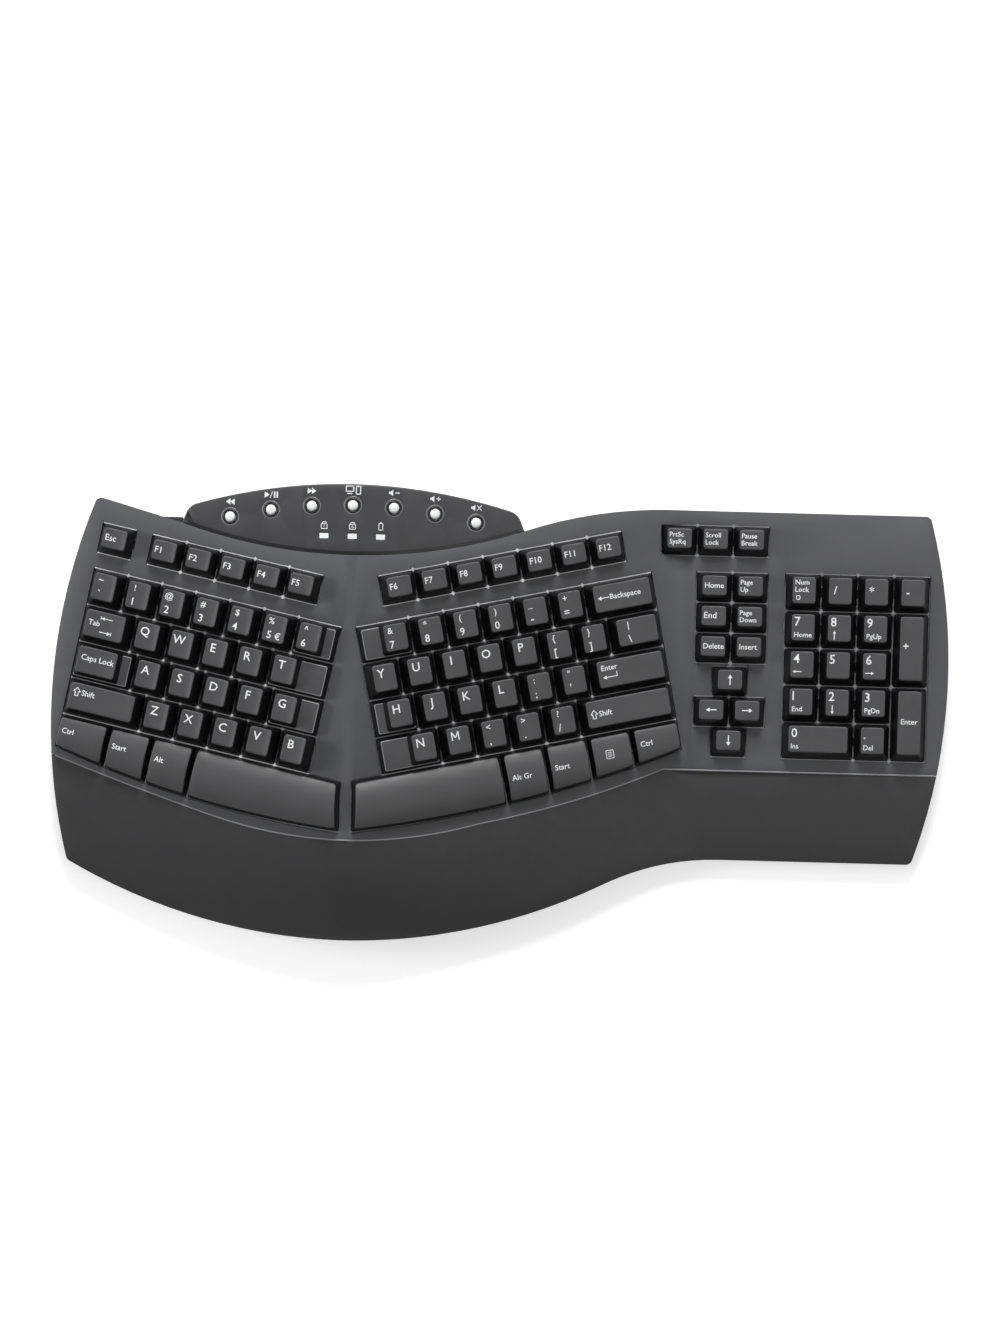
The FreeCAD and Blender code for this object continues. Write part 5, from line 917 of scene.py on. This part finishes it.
SEAM = ((-245.0, -19.6), (-195.0, -38.0), (-148.0, -53.7), (-78.5, -64.9), (-8.0, -54.7),
        (40.0, -41.9), (85.4, -24.7), (226.4, -24.7))
LEFT_END = -229.5
BEAD_PROFILE = ((-0.5, -0.9), (-0.5, -0.16), (-0.35, 0.0), (0.1, 0.06), (0.35, 0.0), (0.35, -0.9))
SEAM_STEPS = 24


def through(one, two, three):
    """Points of the arc through three plan points."""
    a, b, c = (Vector(p) for p in (one, two, three))
    first, second = b - a, c - a
    one_square, two_square = first.length_squared, second.length_squared
    twist = 2 * (first.x * second.y - first.y * second.x)
    middle = a + Vector((second.y * one_square - first.y * two_square,
                         first.x * two_square - second.x * one_square)) / twist
    spoke = a - middle
    sweep = (c - middle).angle_signed(spoke)
    return [middle + Matrix.Rotation(sweep * k / SEAM_STEPS, 2) @ spoke
            for k in range(SEAM_STEPS + 1)]


seam = [p for k in (0, 2, 4) for p in through(*SEAM[k:k + 3])] + [Vector(SEAM[-1])]
builder = Builder()
builder.skins([builder.ring([(p.x, p.y + across, deck_height(p.x, p.y) + up)
                             for across, up in BEAD_PROFILE])
               for p in seam if p.x > LEFT_END], 0)
bead = builder.piece("seam_painted_highlight", Matrix.Identity(4), [EDGE_HIGHLIGHT])
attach(bead, "housing")

# Media panel: buttons, marks behind them and marks at the indicator lenses

MEDIA_BUTTONS = [("previous_button", "previous"), ("play_button", "play"),
                 ("next_button", "next"), ("application_button", "window"),
                 ("volume_down_button", "quieter"), ("volume_up_button", "louder"),
                 ("mute_button", "mute")]
BUTTON_PITCH, BUTTON_ARC, BUTTON_LEVEL = 21.05, 285.0, 106.4
LENS_PITCH, LENS_LEVEL = 14.5, 90.6
PANEL_SINK, PANEL_CREST = 0.5, 150.0
BUTTON_PROFILE = [
    # radius, height, material of the band that ends here: collar, coloured in painted shade, then
    # dome
    (3.82, -1.6, 0), (3.82, 0.15, 0), (3.75, 0.38, 0), (3.56, 0.5, 0), (3.3, 0.5, 0),
    (3.05, 0.36, 0), (2.62, 0.2, 0), (2.55, 0.3, 1), (2.4, 0.62, 1), (2.1, 0.86, 1),
    (1.7, 1.04, 1), (1.2, 1.14, 1), (0.65, 1.19, 1),
]
# A lighter ring round each button hole, its tone a painted highlight of the rim
RIM_PROFILE = [(4.75, 0.01, 0), (4.6, 0.12, 0), (4.3, 0.16, 0), (3.97, 0.05, 0)]
ROUND_STEPS = 40
BUTTON_MARK_Y, INDICATOR_MARK_Y = 7.7, 5.4
BUTTON_MARK_LIFT, INDICATOR_MARK_LIFT = 0.07, 0.03


def panel_matrix(x, y):
    """A frame on the media panel's surface, its Z axis square to it."""
    reach = PANEL_CREST * math.sin(TENT)
    angle = math.asin(max(-reach, min(reach, x - CREST)) / PANEL_CREST)
    if abs(x - CREST) < reach:
        top = PAD_HEIGHT + math.tan(TENT) * (PAD_EDGE - CREST)
        height = top - PANEL_CREST * (1 / math.cos(TENT) - math.cos(angle)) + SLOPE * y
    else:
        height = deck_height(x, y)
    z = Vector((math.tan(angle), -SLOPE, 1.0)).normalized()
    across = Vector((0, 1, 0)).cross(z).normalized()
    m = Matrix((across, z.cross(across), z)).transposed().to_4x4()
    m.translation = Vector((x, y, height)) - z * PANEL_SINK
    return m


def turned(builder, profile):
    """Bands around the Z axis through the points of a profile. Returns the last ring."""
    last = None
    for radius, height, material in profile:
        turns = [2 * math.pi * k / ROUND_STEPS for k in range(ROUND_STEPS)]
        ring = builder.ring([(radius * math.cos(turn), radius * math.sin(turn), height)
                             for turn in turns])
        if last:
            builder.skin(last, ring, material)
        last = ring
    return last


def flat_legend(lift):
    builder = Builder()
    return builder, Legend(builder, lambda x, y: lift, (0.0, 0.0, 0.0, 0.0))


def triangle(legend, x, y, width, height):
    """Points left for a negative width. Its flat side stands at x."""
    legend.put([(x, y - height / 2), (x + width, y), (x, y + height / 2)],
               [(0, 1, 2) if width > 0 else (0, 2, 1)])


def speaker(legend, x, y):
    legend.put([(x - 1.9, y - 0.6), (x - 1.1, y - 0.6), (x + 0.2, y - 1.6), (x + 0.2, y + 1.6),
                (x - 1.1, y + 0.6), (x - 1.9, y + 0.6)], [(0, 1, 2, 3, 4, 5)])


def media_mark(legend, kind):
    y = BUTTON_MARK_Y
    if kind == "previous":
        triangle(legend, 0.1, y, -2.3, 3.2)
        triangle(legend, 2.3, y, -2.3, 3.2)
    elif kind == "next":
        triangle(legend, -2.3, y, 2.3, 3.2)
        triangle(legend, -0.1, y, 2.3, 3.2)
    elif kind == "play":
        triangle(legend, -3.4, y, 2.6, 3.2)
        legend.path([(-0.5, -1.7), (0.7, 1.7)], 0.0, y, 0.35)
        for x in (1.8, 3.2):
            legend.path([(x, -1.6), (x, 1.6)], 0.0, y, 0.75)
    elif kind == "window":
        legend.path(frame_path(-3.6, 0.2, -0.6, 2.1), 0.0, y, 0.5)
        legend.path(frame_path(1.6, 3.8, -1.9, 2.1), 0.0, y, 0.5)
        legend.path([(-2.9, -1.7), (-0.5, -1.7)], 0.0, y, 0.5)
    else:
        speaker(legend, -0.9, y)
        if kind == "mute":
            legend.path([(0.2, -1.3), (2.6, 1.3)], 0.0, y, 0.4)
            legend.path([(0.2, 1.3), (2.6, -1.3)], 0.0, y, 0.4)
        else:
            legend.path([(0.4, 0.0), (2.6, 0.0)], 0.0, y, 0.5)
            if kind == "louder":
                legend.path([(1.5, -1.1), (1.5, 1.1)], 0.0, y, 0.5)


def indicator_mark(legend, kind):
    """A battery, or a lock with a sign in it."""
    y = INDICATOR_MARK_Y
    if kind == "battery":
        legend.path(frame_path(-1.0, 1.0, -1.8, 1.5), 0.0, y, 0.38)
        legend.path([(-0.5, 1.9), (0.5, 1.9)], 0.0, y, 0.45)
    else:
        legend.path(frame_path(-1.5, 1.5, -1.8, 0.7), 0.0, y, 0.36)
        legend.path([(-0.9, 0.7), (-0.9, 1.7), (0.9, 1.7), (0.9, 0.7)], 0.0, y, 0.36)
        legend.word(kind, 0.0, y - 1.25, 1.45, middle=True)


# A dark strip where the panel meets the deck's rear edge: a painted shadow of that edge

REAR_LEVEL, REAR_RADIUS, LINE_REACH, LINE_STEPS = 81.0, 269.0, 85.0, 80
LINE_PROFILE = ((-0.1, -0.4), (-0.1, 0.08), (2.0, 0.08), (2.0, -0.4))

builder = Builder()
rings = []
for k in range(LINE_STEPS + 1):
    offset = LINE_REACH * (1 - 2 * k / LINE_STEPS)
    rear = REAR_LEVEL + REAR_RADIUS - math.sqrt(REAR_RADIUS ** 2 - offset ** 2)
    place = panel_matrix(CREST + offset, rear)
    rings.append(builder.ring([place @ Vector((0, across, up)) for across, up in LINE_PROFILE]))
builder.skins(rings, 0)
shadow_line = builder.piece("panel_edge_painted_shadow", Matrix.Identity(4), [COLLAR_SHADE])
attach(shadow_line, "housing")

middle = len(MEDIA_BUTTONS) // 2
for index, (node, kind) in enumerate(MEDIA_BUTTONS):
    offset = (index - middle) * BUTTON_PITCH
    place = panel_matrix(CREST + offset, BUTTON_LEVEL - BUTTON_ARC
                         + math.sqrt(BUTTON_ARC ** 2 - offset ** 2))
    builder = Builder()
    builder.close(turned(builder, BUTTON_PROFILE), 1)
    piece = builder.piece(node + "_cap", place, [COLLAR_SHADE, SILVER])
    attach(piece, node)
    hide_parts(node)
    builder = Builder()
    turned(builder, RIM_PROFILE)
    rim = builder.piece(node + "_rim", place, [RIM_HIGHLIGHT])
    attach(rim, "housing")
    builder, legend = flat_legend(BUTTON_MARK_LIFT)
    media_mark(legend, kind)
    mark = builder.piece(node + "_mark", place, [INK])
    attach(mark, "housing")

for index, kind in enumerate(("1", "A", "battery")):
    builder, legend = flat_legend(INDICATOR_MARK_LIFT)
    indicator_mark(legend, kind)
    place = panel_matrix(CREST + (index - 1) * LENS_PITCH, LENS_LEVEL)
    mark = builder.piece("indicator_mark_" + kind, place, [INK])
    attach(mark, "housing")

# Floor. What the camera sees of it is lifted to white, and the shadow stays

FLOOR_HALF = 4
FLOOR_NOISE = (3.0, 3.0)
FLOOR_LOW, FLOOR_HIGH = (0.90,) * 3, (0.93,) * 3
FLOOR_ROUGHNESS, FLOOR_SPECULAR = 0.9, 0.1
LIFT = 0.45


def combined(tree, operation, one, two):
    """Works out one value from two, each a number or another node's output."""
    node = tree.nodes.new("ShaderNodeMath")
    node.operation = operation
    for entry, value in zip(node.inputs, (one, two)):
        if isinstance(value, float):
            entry.default_value = value
        else:
            tree.links.new(value, entry)
    return node.outputs[0]


floor_mesh = bpy.data.meshes.new("floor")
floor_mesh.from_pydata([(x * FLOOR_HALF, y * FLOOR_HALF, 0)
                        for x, y in ((-1, -1), (1, -1), (1, 1), (-1, 1))], [], [(0, 1, 2, 3)])
floor = bpy.data.objects.new("floor", floor_mesh)
bpy.context.scene.collection.objects.link(floor)
floor_material, floor_tree, floor_shader = new_material("floor")
floor_tone = ramp(floor_tree, noise(floor_tree, *FLOOR_NOISE), FLOOR_LOW, FLOOR_HIGH)
floor_tree.links.new(floor_tone, floor_shader.inputs["Base Color"])
floor_shader.inputs["Roughness"].default_value = FLOOR_ROUGHNESS
floor_shader.inputs["Specular IOR Level"].default_value = FLOOR_SPECULAR
rays = floor_tree.nodes.new("ShaderNodeLightPath").outputs
seen = combined(floor_tree, "MAXIMUM", rays["Is Camera Ray"], rays["Is Glossy Ray"])
seen = combined(floor_tree, "MAXIMUM", seen, rays["Is Transmission Ray"])
floor_shader.inputs["Emission Color"].default_value = (1.0, 1.0, 1.0, 1.0)
floor_tree.links.new(combined(floor_tree, "MULTIPLY", seen, LIFT),
                     floor_shader.inputs["Emission Strength"])
floor_mesh.materials.append(floor_material)

# Light: a dim room that looks white, and three lamps

SKY_LIGHT, SKY_SEEN = (0.32,) * 3, (1.0,) * 3
LAMPS = (
    # name, place, width, depth, power; all point at the origin
    ("key_light", (0.0, 1.55, 1.0), 0.7, 0.7, 34.0),
    ("side_light", (-2.6, 0.3, 0.9), 0.8, 0.6, 32.0),
    ("fill_light", (0.9, -0.3, 1.4), 1.0, 1.0, 4.0),
)

world = bpy.data.worlds.new("studio")
bpy.context.scene.world = world
world.use_nodes = True
sky = world.node_tree.nodes["Background"]
sky_rays = world.node_tree.nodes.new("ShaderNodeLightPath").outputs
world.node_tree.links.new(
    ramp(world.node_tree, sky_rays["Is Camera Ray"], SKY_LIGHT, SKY_SEEN, ends=(0.0, 1.0)),
    sky.inputs["Color"])
sky.inputs["Strength"].default_value = 1.0

for name, place, width, depth, power in LAMPS:
    lamp_data = bpy.data.lights.new(name, "AREA")
    lamp_data.shape = "RECTANGLE"
    lamp_data.size = width
    lamp_data.size_y = depth
    lamp_data.energy = power
    lamp = bpy.data.objects.new(name, lamp_data)
    bpy.context.scene.collection.objects.link(lamp)
    lamp.location = place
    lamp.rotation_euler = (-Vector(place)).to_track_quat("-Z", "Y").to_euler()

bpy.context.scene.view_settings.view_transform = "Standard"
